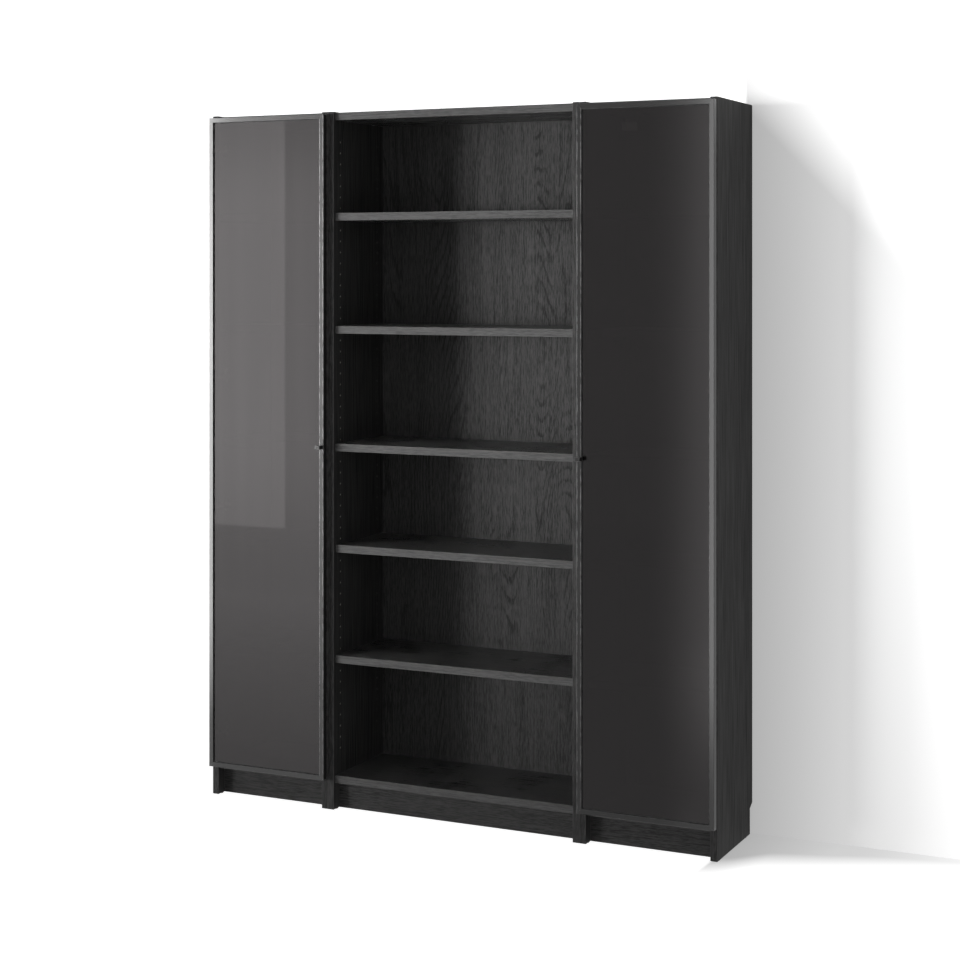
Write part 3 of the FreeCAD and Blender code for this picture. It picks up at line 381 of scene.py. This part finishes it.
def board_material(node, kind, seed):
    """Black-brown oak for one board, with its own stretch of grain."""
    low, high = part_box(node)
    material, tree, shader = new_material(f"oak_{node}")
    draw = random.Random(seed)
    offset = [draw.uniform(-4, 4) for _ in range(3)]
    vector = turned_coordinates(tree, GRAIN_TURNS[kind], offset)
    is_back = kind == "back"
    grain = place_group(tree, OAK_GRAIN, {
        "Vector": vector, "Figure": 62.0 if is_back else 30.0,
        "Lines Per Metre": 58.0 if is_back else 110.0,
        "Line Depth": 0.80 if is_back else 0.42, "Pore Depth": 0.26, "Mottle": 0.55})
    point = add(tree, "ShaderNodeTexCoord").outputs["Object"]
    depth = add(tree, "ShaderNodeSeparateXYZ", {"Vector": point}).outputs["Y"]
    edge = ramp(tree, depth, low.y + 0.0014, low.y + 0.0004)
    fleck = noise(tree, vector_calc(tree, "MULTIPLY", vector, (420, 420, 34)), detail=3.0, roughness=0.7)
    speckle = calc(tree, "MULTIPLY", ramp(tree, fleck, 0.32, 0.68, -0.85, 0.90, False), edge)
    tone = calc(tree, "ADD", grain["Tone"], speckle, clamp=True)
    colour = blend_colour(tree, tone, (0.0038, 0.0037, 0.0037, 1), (0.0365, 0.0360, 0.0357, 1))
    # Painted highlight: a lighter colour along the board's edges
    edge_highlight = place_group(tree, ARRIS_HIGHLIGHT, {"Low": low, "High": high, "Width": 0.0013})["Mask"]
    colour = blend_colour(tree, calc(tree, "MULTIPLY", edge_highlight, 0.36), colour, (0.13, 0.128, 0.126, 1))
    is_shelf = kind == "shelf"
    # On shelves the dust is laid on thicker, as painted light on their tops
    dust_and_top_light = place_group(tree, DUST_AND_TOP_LIGHT, {"Amount": 0.22 if is_shelf else 0.08})["Mask"]
    colour = blend_colour(tree, dust_and_top_light, colour, (0.22, 0.22, 0.215, 1))
    dull, sheen = (0.31, 0.24) if is_shelf else (0.70, 0.56)
    rough = ramp(tree, grain["Tone"], 0.0, 1.0, dull, sheen, False)
    rough = calc(tree, "ADD", rough, calc(tree, "MULTIPLY", edge, 0.50 if is_shelf else 0.05))
    link(tree, calc(tree, "ADD", rough, calc(tree, "MULTIPLY", dust_and_top_light, 0.3)), shader["Roughness"])
    if kind == "side":
        front_row = (low.y + PIN_ROW_INSET, (0.38, 0.36, 0.33, 1))
        # Painted shade: the rear row's holes are coloured dark
        shaded_rear_row = (high.y - PIN_ROW_INSET, (0.05, 0.047, 0.043, 1))
        for row, bare in (front_row, shaded_rear_row):
            colour = blend_colour(tree, drilled_row(tree, node, row, low, high), colour, bare)
    if is_back:
        colour = blend_colour(tree, ramp(tree, depth, high.y - 0.0006, high.y - 0.0003), colour,
                              bare_hardboard(tree, point))
    link(tree, colour, shader["Base Color"])
    link(tree, bump(tree, grain["Height"], 0.14, 0.0003), shader["Normal"])
    shader["Specular IOR Level"].default_value = 0.40 if is_shelf else 0.13
    return material


def bare_hardboard(tree, point):
    """The brown, felted rear face of the thin back."""
    felt = noise(tree, vector_calc(tree, "MULTIPLY", point, (520, 520, 520)), detail=4.0, roughness=0.7)
    blotch = noise(tree, vector_calc(tree, "MULTIPLY", point, (9, 9, 9)), detail=3.0)
    brown = blend_colour(tree, felt, (0.20, 0.125, 0.07, 1), (0.42, 0.29, 0.175, 1))
    return blend_colour(tree, calc(tree, "MULTIPLY", blotch, 0.35), brown, (0.27, 0.18, 0.105, 1))


def drilled_row(tree, node, row, low, high):
    """Where a row of a side panel's pin holes shows chipboard.
    The rear row is painted almost as dark as the board, as painted shade in its holes.
    """
    outer = low.x if node.endswith("left_side") else high.x
    holes = place_group(tree, PIN_HOLES, {"Lowest Hole": LOWEST_PIN_HOLE, "Row": row, "Outer Face": outer})
    return holes["Mask"]


def frame_material(node, along, door_low, door_high):
    """Black satin powder coat on an aluminium bar, with a painted highlight along its edges."""
    low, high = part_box(node)
    material, tree, shader = new_material(f"frame_{node}")
    turn = {"Z": GRAIN_TURNS["back"], "X": GRAIN_TURNS["shelf"]}[along]
    coat = place_group(tree, FINE_COAT, {"Vector": turned_coordinates(tree, turn, (0, 0, 0))})
    # The knob stiles get a wider painted edge highlight
    width = 0.0025 if node.endswith("knob_stile") else 0.0007
    edge_highlight = place_group(tree, ARRIS_HIGHLIGHT, {"Low": low, "High": high, "Width": width})["Mask"]
    colour = blend_colour(tree, coat["Tone"], (0.010, 0.0098, 0.0098, 1), (0.019, 0.0185, 0.0185, 1))
    # Painted highlight: a lighter colour along the bar's edges
    colour = blend_colour(tree, calc(tree, "MULTIPLY", edge_highlight, 0.6), colour, (0.085, 0.085, 0.085, 1))
    joint = place_group(tree, MITRES, {"Low": door_low, "High": door_high})["Mask"]
    colour = blend_colour(tree, joint, colour, (0.001, 0.001, 0.001, 1))
    link(tree, colour, shader["Base Color"])
    gloss = ramp(tree, coat["Tone"], 0.2, 0.8, 0.11, 0.14, False)
    gloss = calc(tree, "ADD", gloss, calc(tree, "MULTIPLY", edge_highlight, 0.30))
    link(tree, calc(tree, "ADD", gloss, calc(tree, "MULTIPLY", joint, 0.4)), shader["Roughness"])
    link(tree, bump(tree, coat["Height"], 0.03, 0.00003), shader["Normal"])
    return material


def glass_material():
    """Dark grey glass: almost black from outside, with a clear mirror image of the room."""
    material, tree, shader = new_material("dark_glass")
    point = add(tree, "ShaderNodeTexCoord").outputs["Object"]
    smear = noise(tree, vector_calc(tree, "MULTIPLY", point, (9, 9, 3)), detail=2.0)
    link(tree, ramp(tree, smear, 0.3, 0.8, 0.004, 0.012), shader["Roughness"])
    link(tree, blend_colour(tree, smear, (0.052, 0.048, 0.047, 1), (0.060, 0.055, 0.054, 1)),
         shader["Base Color"])
    wave = noise(tree, vector_calc(tree, "MULTIPLY", point, (14, 14, 2.5)), detail=1.0)
    link(tree, bump(tree, wave, 0.004, 0.0003), shader["Normal"])
    shader["Transmission Weight"].default_value = 1.0
    shader["IOR"].default_value = 1.45
    shader["Specular Tint"].default_value = (1.0, 0.955, 0.965, 1)
    return material


def rubber_material():
    material, tree, shader = new_material("gasket_rubber")
    point = add(tree, "ShaderNodeTexCoord").outputs["Object"]
    grit = noise(tree, vector_calc(tree, "MULTIPLY", point, (1500, 1500, 1500)), detail=1.0)
    link(tree, blend_colour(tree, grit, (0.004, 0.004, 0.004, 1), (0.012, 0.012, 0.012, 1)),
         shader["Base Color"])
    link(tree, ramp(tree, grit, 0.2, 0.8, 0.7, 0.9, False), shader["Roughness"])
    link(tree, bump(tree, grit, 0.2, 0.00005), shader["Normal"])
    shader["Specular IOR Level"].default_value = 0.3
    return material


def metal_material(name, dark, light, low_roughness, high_roughness, scale):
    """A plated metal with the mottled sheen of its plating."""
    material, tree, shader = new_material(name)
    point = add(tree, "ShaderNodeTexCoord").outputs["Object"]
    spots = noise(tree, scaled(tree, point, scale), detail=3.0)
    fine = noise(tree, vector_calc(tree, "MULTIPLY", point, (2600, 2600, 2600)), detail=1.0)
    link(tree, blend_colour(tree, spots, dark, light), shader["Base Color"])
    link(tree, ramp(tree, spots, 0.25, 0.75, low_roughness, high_roughness, False), shader["Roughness"])
    link(tree, bump(tree, fine, 0.06, 0.00004), shader["Normal"])
    shader["Metallic"].default_value = 1.0
    return material


def beech_material():
    material, tree, shader = new_material("dowel_beech")
    vector = turned_coordinates(tree, GRAIN_TURNS["shelf"], (0, 0, 0))
    fibre = noise(tree, vector_calc(tree, "MULTIPLY", vector, (900, 900, 40)), detail=3.0)
    link(tree, blend_colour(tree, fibre, (0.42, 0.28, 0.15, 1), (0.62, 0.46, 0.28, 1)),
         shader["Base Color"])
    link(tree, ramp(tree, fibre, 0.2, 0.8, 0.55, 0.75, False), shader["Roughness"])
    link(tree, bump(tree, fibre, 0.3, 0.0002), shader["Normal"])
    return material


def plastic_material():
    material, tree, shader = new_material("glide_plastic")
    point = add(tree, "ShaderNodeTexCoord").outputs["Object"]
    pebble = noise(tree, vector_calc(tree, "MULTIPLY", point, (1800, 1800, 1800)), detail=1.0)
    link(tree, blend_colour(tree, pebble, (0.016, 0.016, 0.016, 1), (0.03, 0.03, 0.03, 1)),
         shader["Base Color"])
    link(tree, ramp(tree, pebble, 0.2, 0.8, 0.45, 0.62, False), shader["Roughness"])
    link(tree, bump(tree, pebble, 0.15, 0.00008), shader["Normal"])
    return material


def bare_tree(name):
    """A material with an empty tree, whose glow isn't sampled as a lamp."""
    material = bpy.data.materials.new(name)
    material.use_nodes = True
    material.cycles.emission_sampling = "NONE"
    material.node_tree.nodes.clear()
    return material, material.node_tree


def added_shaders(tree, first, second):
    made = tree.nodes.new("ShaderNodeAddShader")
    tree.links.new(first, made.inputs[0])
    tree.links.new(second, made.inputs[1])
    return made.outputs[0]


def mixed_shaders(tree, factor, first, second):
    made = tree.nodes.new("ShaderNodeMixShader")
    link(tree, factor, made.inputs[0])
    tree.links.new(first, made.inputs[1])
    tree.links.new(second, made.inputs[2])
    return made.outputs[0]


def end_with(tree, shader):
    tree.links.new(shader, tree.nodes.new("ShaderNodeOutputMaterial").inputs["Surface"])


def emission(tree, strength):
    return add(tree, "ShaderNodeEmission", {"Color": (1, 1, 1, 1), "Strength": strength}).outputs[0]


def paper_material(name, mirrored):
    """White studio paper. It takes shadows, and can be seen through from behind. Its own glow
    is painted light, and is weaker close to the row's right end as a painted soft shadow.
    Where it is mirrored, it has an even brightness if one is given."""
    material, tree = bare_tree(name)
    point = add(tree, "ShaderNodeTexCoord").outputs["Object"]
    split = add(tree, "ShaderNodeSeparateXYZ", {"Vector": point}).outputs
    past_end = calc(tree, "SUBTRACT", split["X"], cad_high.x)
    above_top = calc(tree, "SUBTRACT", split["Z"], cad_high.z)
    # Painted soft shadow: the glow is weaker close to the row's right end
    beside = ramp(tree, past_end, 0.0, 0.09, 0.34, 0.40, False)
    beside = calc(tree, "ADD", beside, ramp(tree, past_end, 0.09, 0.26, 0.0, 0.12, False))
    clear_of_it = ramp(tree, past_end, 0.27, 0.76, 0.0, 0.38)
    over_it = ramp(tree, calc(tree, "ADD", above_top, past_end), -0.03, 0.15, 0.0, 0.42, False)
    at_left = ramp(tree, past_end, 0.0, -0.03, 0.0, 0.95)
    inwards = calc(tree, "SUBTRACT", calc(tree, "MULTIPLY", split["Y"], math.cos(CAMERA_YAW)),
                   calc(tree, "MULTIPLY", split["X"], math.sin(CAMERA_YAW)))
    inwards = calc(tree, "ADD", inwards, ramp(tree, past_end, 0.0, 0.12, 0.06, 0.0))
    ahead = ramp(tree, inwards, -0.25, -0.46, 0.0, 0.97, False)
    near_end = calc(tree, "ADD", calc(tree, "ADD", beside, clear_of_it), over_it)
    glow = calc(tree, "MAXIMUM", calc(tree, "MAXIMUM", at_left, ahead), near_end)
    rays = add(tree, "ShaderNodeLightPath").outputs
    paper = add(tree, "ShaderNodeBsdfDiffuse", {"Color": (0.47, 0.47, 0.47, 1)}).outputs[0]
    seen = added_shaders(tree, paper, emission(tree, glow))
    if mirrored is not None:
        seen = mixed_shaders(tree, rays["Is Glossy Ray"], seen, emission(tree, mirrored))
    shown = calc(tree, "ADD", calc(tree, "ADD", rays["Is Camera Ray"], rays["Is Glossy Ray"]),
                 rays["Is Transmission Ray"], clamp=True)
    front = calc(tree, "SUBTRACT", 1.0, add(tree, "ShaderNodeNewGeometry").outputs["Backfacing"])
    clear = tree.nodes.new("ShaderNodeBsdfTransparent").outputs[0]
    end_with(tree, mixed_shaders(tree, calc(tree, "MULTIPLY", shown, front), clear, seen))
    return material


def diffuser_material():
    """Light cloth in front of the row, and its sheen on the floor. Only gloss shows them: a bright
    window for the left glass, and a strip of lamp each for the two doors' outer stiles."""
    material, tree = bare_tree("diffuser_cloth")
    point = add(tree, "ShaderNodeTexCoord").outputs["Object"]
    split = add(tree, "ShaderNodeSeparateXYZ", {"Vector": point}).outputs
    x, y, z = split["X"], split["Y"], split["Z"]
    away = calc(tree, "MULTIPLY", y, -1.0)
    low = ramp(tree, z, 0.0, 0.85, 0.66, 1.0)
    high = ramp(tree, z, 1.85, 2.35, 0.0, 0.32)
    upright = calc(tree, "MULTIPLY", calc(tree, "SUBTRACT", low, high), 2.46)
    lying = ramp(tree, away, 0.0, 3.0, 0.45, 1.69, False)
    on_floor = calc(tree, "LESS_THAN", z, 0.01)
    cloth = add(tree, "ShaderNodeMix", {"Factor": on_floor, "A": upright, "B": lying}).outputs["Result"]
    aside = calc(tree, "ADD", x, calc(tree, "MULTIPLY", away, MIDDLE_SLANT))
    cloth = calc(tree, "MULTIPLY", cloth, ramp(tree, aside, 0.35, -0.35))
    window = calc(tree, "MULTIPLY", ramp(tree, x, WINDOW_RIGHT, WINDOW_RIGHT - 0.018),
                  ramp(tree, z, WINDOW_FOOT, WINDOW_FOOT + 0.014))
    folds = noise(tree, vector_calc(tree, "MULTIPLY", point, (14, 14, 0.4)), detail=2.0)
    side = calc(tree, "DIVIDE", calc(tree, "SUBTRACT", x, 0.7), away)
    past_glass = calc(tree, "ADD", x, calc(tree, "MULTIPLY", away, RIGHT_SLANT))
    front_light = calc(tree, "ADD", ramp(tree, side, -0.43, -0.16, 0.0, 3.0),
                       ramp(tree, past_glass, RIGHT_STRIP, RIGHT_STRIP + 0.032, 0.0, 4.5))
    front_light = calc(tree, "MULTIPLY", front_light, ramp(tree, side, 0.1, -0.05))
    front_light = calc(tree, "MULTIPLY", front_light, ramp(tree, away, 0.6, 2.6, 0.1, 1.0))
    beyond = calc(tree, "ADD", x, calc(tree, "MULTIPLY", away, LEFT_SLANT))
    lamp_lying = ramp(tree, away, 0.9, 2.4, 1.0, 17.0, False)
    lamp = add(tree, "ShaderNodeMix", {"Factor": on_floor, "A": 16.5, "B": lamp_lying}).outputs["Result"]
    lamp = calc(tree, "MULTIPLY", lamp, ramp(tree, beyond, LEFT_STRIP, LEFT_STRIP - 0.018))
    total = calc(tree, "ADD", cloth, calc(tree, "MULTIPLY", window, 0.95))
    total = calc(tree, "ADD", total, calc(tree, "ADD", front_light, lamp))
    total = calc(tree, "MULTIPLY", total, ramp(tree, folds, 0.2, 0.8, 0.95, 1.05))
    glossy = add(tree, "ShaderNodeLightPath").outputs["Is Glossy Ray"]
    clear = tree.nodes.new("ShaderNodeBsdfTransparent").outputs[0]
    end_with(tree, added_shaders(tree, clear, emission(tree, calc(tree, "MULTIPLY", total, glossy))))
    return material


def give(node, material):
    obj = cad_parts[node]
    obj.data.materials.clear()
    obj.data.materials.append(material)


def dress_frame():
    """Give every piece of the frame its finish."""
    zinc = metal_material("zinc_plate", (0.42, 0.42, 0.42, 1), (0.62, 0.62, 0.61, 1), 0.28, 0.5, 300)
    steel = metal_material("nickel_plate", (0.52, 0.51, 0.49, 1), (0.70, 0.69, 0.67, 1), 0.18, 0.36, 160)
    glass = glass_material()
    rubber = rubber_material()
    plain = {
        "shelf_pins": zinc, "cam_locks": zinc, "cam_bolts": steel, "dowels": beech_material(),
        "back_nails": steel, "glides": plastic_material(), "wall_brackets": zinc,
        "wall_bracket_screws": steel, "hinge_mounting_plates": steel, "hinge_screws": steel,
        "hinge_arms": steel,
    }
    for door in ("left_door", "right_door"):
        plain[f"{door}_glass"] = glass
        plain[f"{door}_gasket"] = rubber
        for piece in ("corner_cleats", "hinge_shoes", "hinge_pins", "screws"):
            plain[f"{door}_{piece}"] = zinc if piece == "corner_cleats" else steel
        corners = [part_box(f"{door}_hinge_stile"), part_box(f"{door}_knob_stile")]
        door_low = Vector([min(low[i] for low, _ in corners) for i in range(3)])
        door_high = Vector([max(high[i] for _, high in corners) for i in range(3)])
        for bar in ("hinge_stile", "knob_stile", "top_rail", "bottom_rail", "knob"):
            name = f"{door}_{bar}"
            give(name, frame_material(name, "X" if "rail" in bar else "Z", door_low, door_high))
    for name, material in plain.items():
        give(name, material)
    boards = sorted(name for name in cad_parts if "_cabinet_" in name)
    for seed, name in enumerate(boards):
        kind = name.rsplit("_", 1)[1]
        if kind not in GRAIN_TURNS:
            kind = "shelf"
        give(name, board_material(name, kind, seed))


# Screws


def screw_tree():
    """Cross-head screws on points. Each point's heading says which way the head looks."""
    tree = bpy.data.node_groups.new("Screws on points", "GeometryNodeTree")
    tree.is_modifier = True
    face = tree.interface
    face.new_socket("Geometry", in_out="INPUT", socket_type="NodeSocketGeometry")
    for name in SCREW_SIZES:
        face.new_socket(name, in_out="INPUT", socket_type="NodeSocketFloat").default_value = 0.002
    face.new_socket("Finish", in_out="INPUT", socket_type="NodeSocketMaterial")
    face.new_socket("Geometry", in_out="OUTPUT", socket_type="NodeSocketGeometry")
    given = tree.nodes.new("NodeGroupInput").outputs
    head_radius, head_height, shank_radius, shank_length = (given[name] for name in SCREW_SIZES)
    head = add(tree, "GeometryNodeMeshCone", {
        "Vertices": HEAD_SIDES, "Radius Top": calc(tree, "MULTIPLY", head_radius, HEAD_TOP),
        "Radius Bottom": head_radius, "Depth": head_height}).outputs["Mesh"]
    bars = []
    for turn in (0.0, math.pi / 2):
        size = add(tree, "ShaderNodeCombineXYZ", {
            "X": calc(tree, "MULTIPLY", head_radius, RECESS_LENGTH),
            "Y": calc(tree, "MULTIPLY", head_radius, RECESS_WIDTH),
            "Z": calc(tree, "MULTIPLY", head_height, RECESS_HEIGHT)}).outputs[0]
        bar = add(tree, "GeometryNodeMeshCube", {"Size": size}).outputs["Mesh"]
        lift = add(tree, "ShaderNodeCombineXYZ", {"Z": head_height}).outputs[0]
        bars.append(add(tree, "GeometryNodeTransform",
                        {"Geometry": bar, "Translation": lift, "Rotation": (0, 0, turn)}).outputs[0])
    recess = add(tree, "GeometryNodeMeshBoolean", operation="UNION", solver="EXACT")
    cut = add(tree, "GeometryNodeMeshBoolean", {"Mesh 1": head}, operation="DIFFERENCE", solver="EXACT")
    for bar in bars:
        tree.links.new(bar, recess.inputs["Mesh 2"])
    tree.links.new(recess.outputs["Mesh"], cut.inputs["Mesh 2"])
    tip_length = calc(tree, "MULTIPLY", shank_radius, TIP_LENGTH)
    rod_length = calc(tree, "SUBTRACT", shank_length, tip_length)
    rod = add(tree, "GeometryNodeMeshCylinder",
              {"Vertices": SHANK_SIDES, "Radius": shank_radius, "Depth": rod_length}).outputs["Mesh"]
    down = add(tree, "ShaderNodeCombineXYZ", {"Z": calc(tree, "MULTIPLY", rod_length, -0.5)}).outputs[0]
    rod = add(tree, "GeometryNodeTransform", {"Geometry": rod, "Translation": down}).outputs[0]
    tip = add(tree, "GeometryNodeMeshCone", {
        "Vertices": SHANK_SIDES, "Radius Top": shank_radius,
        "Radius Bottom": calc(tree, "MULTIPLY", shank_radius, TIP_POINT),
        "Depth": tip_length}).outputs["Mesh"]
    end = add(tree, "ShaderNodeCombineXYZ", {"Z": calc(tree, "MULTIPLY", shank_length, -1.0)}).outputs[0]
    tip = add(tree, "GeometryNodeTransform", {"Geometry": tip, "Translation": end}).outputs[0]
    screw = tree.nodes.new("GeometryNodeJoinGeometry")
    for part in (cut.outputs["Mesh"], rod, tip):
        tree.links.new(part, screw.inputs[0])
    heading = add(tree, "GeometryNodeInputNamedAttribute", {"Name": "heading"}, data_type="FLOAT_VECTOR")
    upright = add(tree, "FunctionNodeAlignRotationToVector",
                  {"Vector": heading.outputs["Attribute"]}, axis="Z").outputs[0]
    roll = add(tree, "FunctionNodeRandomValue", {"Seed": 7}, data_type="FLOAT")
    quarter = calc(tree, "MULTIPLY", roll.outputs[1], math.pi / 2)
    about = add(tree, "FunctionNodeAxisAngleToRotation", {"Axis": (0, 0, 1), "Angle": quarter}).outputs[0]
    turned = add(tree, "FunctionNodeRotateRotation", {"Rotation": upright, "Rotate By": about},
                 rotation_space="LOCAL").outputs[0]
    placed = add(tree, "GeometryNodeInstanceOnPoints", {
        "Points": given["Geometry"], "Instance": screw.outputs[0], "Rotation": turned}).outputs[0]
    real = add(tree, "GeometryNodeRealizeInstances", {"Geometry": placed}).outputs[0]
    finished = add(tree, "GeometryNodeSetMaterial", {"Geometry": real, "Material": given["Finish"]})
    link(tree, finished.outputs[0], tree.nodes.new("NodeGroupOutput").inputs[0])
    return tree


def separate_solids(node):
    """The corners of each loose solid of a CAD node."""
    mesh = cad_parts[node].data
    home = {}

    def root_of(corner):
        while home[corner] != corner:
            home[corner] = home[home[corner]]
            corner = home[corner]
        return corner

    for polygon in mesh.polygons:
        corners = [tuple(round(c, 5) for c in mesh.vertices[i].co) for i in polygon.vertices]
        for corner in corners:
            home.setdefault(corner, corner)
        for corner in corners[1:]:
            home[root_of(corner)] = root_of(corners[0])
    solids = {}
    for corner in home:
        solids.setdefault(root_of(corner), []).append(corner)
    return sorted(solids.values())


def measured_screw(corners):
    """Where a plain screw's head sits, which way it looks, and its sizes in SCREW_SIZES' order."""
    low = Vector([min(c[i] for c in corners) for i in range(3)])
    high = Vector([max(c[i] for c in corners) for i in range(3)])
    extent = high - low
    axis = max(range(3), key=lambda i: extent[i])
    middle = (low + high) / 2
    across = [i for i in range(3) if i != axis]

    def radius_at(level):
        return max(math.hypot(*(c[i] - middle[i] for i in across)) for c in corners if c[axis] == level)

    levels = sorted({c[axis] for c in corners})
    looks_up = radius_at(levels[-1]) > radius_at(levels[0])
    if not looks_up:
        levels.reverse()
    tail, seat, top = levels[0], levels[-2], levels[-1]
    place = middle.copy()
    place[axis] = seat
    heading = Vector((0, 0, 0))
    heading[axis] = 1 if looks_up else -1
    sizes = (radius_at(top), abs(top - seat), radius_at(tail), abs(seat - tail))
    return place, heading, tuple(round(size, 5) for size in sizes)


def cross_head_screws(node, body, tree, finish):
    """Screws with a cross recess, each in the place and size of one of the node's plain ones."""
    kinds = {}
    for corners in separate_solids(node):
        place, heading, sizes = measured_screw(corners)
        kinds.setdefault(sizes, []).append((place, heading))
    sockets = {item.name: item.identifier for item in tree.interface.items_tree if item.in_out == "INPUT"}
    together = bmesh.new()
    for sizes, places in sorted(kinds.items()):
        points = bpy.data.meshes.new(f"{node}_places")
        points.from_pydata([place for place, _ in places], [], [])
        headings = points.attributes.new("heading", "FLOAT_VECTOR", "POINT")
        for item, (_, heading) in zip(headings.data, places):
            item.vector = heading
        holder = bpy.data.objects.new(f"{node}_places", points)
        bpy.context.scene.collection.objects.link(holder)
        modifier = holder.modifiers.new("screws", "NODES")
        modifier.node_group = tree
        for name, size in zip(SCREW_SIZES, sizes):
            modifier[sockets[name]] = size
        modifier[sockets["Finish"]] = finish
        bpy.context.view_layer.update()
        made = bpy.data.meshes.new_from_object(holder.evaluated_get(bpy.context.evaluated_depsgraph_get()))
        holder.modifiers.remove(modifier)
        bpy.data.objects.remove(holder)
        together.from_mesh(made)
        bpy.data.meshes.remove(made)
    mesh = bpy.data.meshes.new(f"{node}_cross_heads")
    together.to_mesh(mesh)
    together.free()
    mesh.materials.append(finish)
    obj = bpy.data.objects.new(f"{node}_cross_heads", mesh)
    bpy.context.scene.collection.objects.link(obj)
    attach(obj, body)
    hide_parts(node)


def fit_screws():
    tree = screw_tree()
    finish = metal_material("screw_nickel", (0.52, 0.51, 0.49, 1), (0.70, 0.69, 0.67, 1), 0.2, 0.38, 240)
    for node, body in (("hinge_screws", "root"), ("wall_bracket_screws", "root"),
                       ("left_door_screws", "left_door"), ("right_door_screws", "right_door")):
        cross_head_screws(node, body, tree, finish)


# Studio


def flat_sheet(name, corners, material):
    mesh = bpy.data.meshes.new(name)
    mesh.from_pydata(corners, [], [(0, 1, 2, 3)])
    sheet = bpy.data.objects.new(name, mesh)
    bpy.context.scene.collection.objects.link(sheet)
    sheet.data.materials.append(material)


def area_light(name, place, target, width, height, radiance, spread):
    """A soft box of the given size, whose face has the given brightness when seen straight on.
    The narrower its spread, the faster it dims towards the side."""
    lamp = bpy.data.lights.new(name, "AREA")
    lamp.shape = "RECTANGLE"
    lamp.size = width
    lamp.size_y = height
    lamp.spread = spread
    half = spread / 2
    lamp.energy = 4 * width * height * radiance * (1 - half / math.tan(half))
    obj = bpy.data.objects.new(name, lamp)
    bpy.context.scene.collection.objects.link(obj)
    obj.location = place
    obj.rotation_euler = (Vector(target) - Vector(place)).to_track_quat("-Z", "Y").to_euler()
    return obj


def from_front(azimuth, distance, height):
    """A place in front of the row: degrees to the left of its front, metres away and up."""
    turn = math.radians(azimuth)
    return (-distance * math.sin(turn), -distance * math.cos(turn), height)


def studio():
    far = PAPER_REACH
    rear = cad_high.y + WALL_GAP
    flat_sheet("floor", [(-far, -far, 0), (far, -far, 0), (far, far, 0), (-far, far, 0)],
               paper_material("floor_paper", MIRRORED_FRONT))
    flat_sheet("wall", [(-far, rear, 0), (far, rear, 0), (far, rear, far), (-far, rear, far)],
               paper_material("wall_paper", None))
    cloth = diffuser_material()
    foot = [(CLOTH_LEFT, CLOTH_AWAY, JUST_OVER_FLOOR), (CLOTH_RIGHT, CLOTH_AWAY, JUST_OVER_FLOOR)]
    head = [(CLOTH_RIGHT, CLOTH_AWAY, CLOTH_TOP), (CLOTH_LEFT, CLOTH_AWAY, CLOTH_TOP)]
    near = [(CLOTH_RIGHT, SHEEN_NEAR, JUST_OVER_FLOOR), (CLOTH_LEFT, SHEEN_NEAR, JUST_OVER_FLOOR)]
    flat_sheet("diffuser", foot + head, cloth)
    flat_sheet("floor_sheen", foot + near, cloth)
    aim = (0, 0, KEY_HEIGHT)
    narrow = math.radians(17)
    area_light("key", from_front(46.6, 12, KEY_HEIGHT), aim,
               width=2.65, height=1.6, radiance=165, spread=narrow)
    area_light("key_side", from_front(56.2, 12, KEY_HEIGHT), aim,
               width=1.35, height=1.6, radiance=105, spread=narrow)
    fill = area_light("fill", from_front(27, 6, KEY_HEIGHT), aim,
                      width=2.4, height=3.2, radiance=0.45, spread=math.radians(160))
    fill.visible_glossy = False
    world = bpy.data.worlds.new("studio")
    bpy.context.scene.world = world
    world.use_nodes = True
    world.cycles.sampling_method = "NONE"
    tree = world.node_tree
    tree.nodes.clear()
    rays = add(tree, "ShaderNodeLightPath").outputs
    heading = add(tree, "ShaderNodeTexCoord").outputs["Generated"]
    split = add(tree, "ShaderNodeSeparateXYZ", {"Vector": heading}).outputs
    mirrored = ramp(tree, split["Y"], -0.6, 0.2, MIRRORED_FRONT, 1.0)
    soft = ramp(tree, split["Z"], -0.4, 0.4, 0.10, 0.08)
    soft = calc(tree, "MULTIPLY", soft, ramp(tree, split["X"], -0.15, 0.65, 1.0, 6.4))
    strength = add(tree, "ShaderNodeMix",
                   {"Factor": rays["Is Glossy Ray"], "A": soft, "B": mirrored}).outputs["Result"]
    direct = calc(tree, "MAXIMUM", rays["Is Camera Ray"], rays["Is Transmission Ray"])
    strength = calc(tree, "MAXIMUM", strength, direct)
    sky = add(tree, "ShaderNodeBackground", {"Color": (1, 1, 1, 1), "Strength": strength})
    tree.links.new(sky.outputs[0], tree.nodes.new("ShaderNodeOutputWorld").inputs["Surface"])


def camera():
    """The photograph's camera: level, with its lens shifted instead of tilted."""
    lens = bpy.data.cameras.new("camera")
    lens.sensor_width = SENSOR_WIDTH
    lens.lens = SENSOR_WIDTH * FOCAL_PIXELS / PHOTO_WIDTH
    lens.shift_x = (PHOTO_WIDTH / 2 - PRINCIPAL_POINT[0]) / PHOTO_WIDTH
    lens.shift_y = (PRINCIPAL_POINT[1] - PHOTO_WIDTH / 2) / PHOTO_WIDTH
    lens.dof.use_dof = False
    obj = bpy.data.objects.new("camera", lens)
    bpy.context.scene.collection.objects.link(obj)
    obj.location = CAMERA_PLACE
    obj.rotation_euler = (math.pi / 2, 0, CAMERA_YAW)
    bpy.context.scene.camera = obj


dress_frame()
fit_screws()
studio()
camera()
bpy.context.scene.view_settings.view_transform = "Standard"
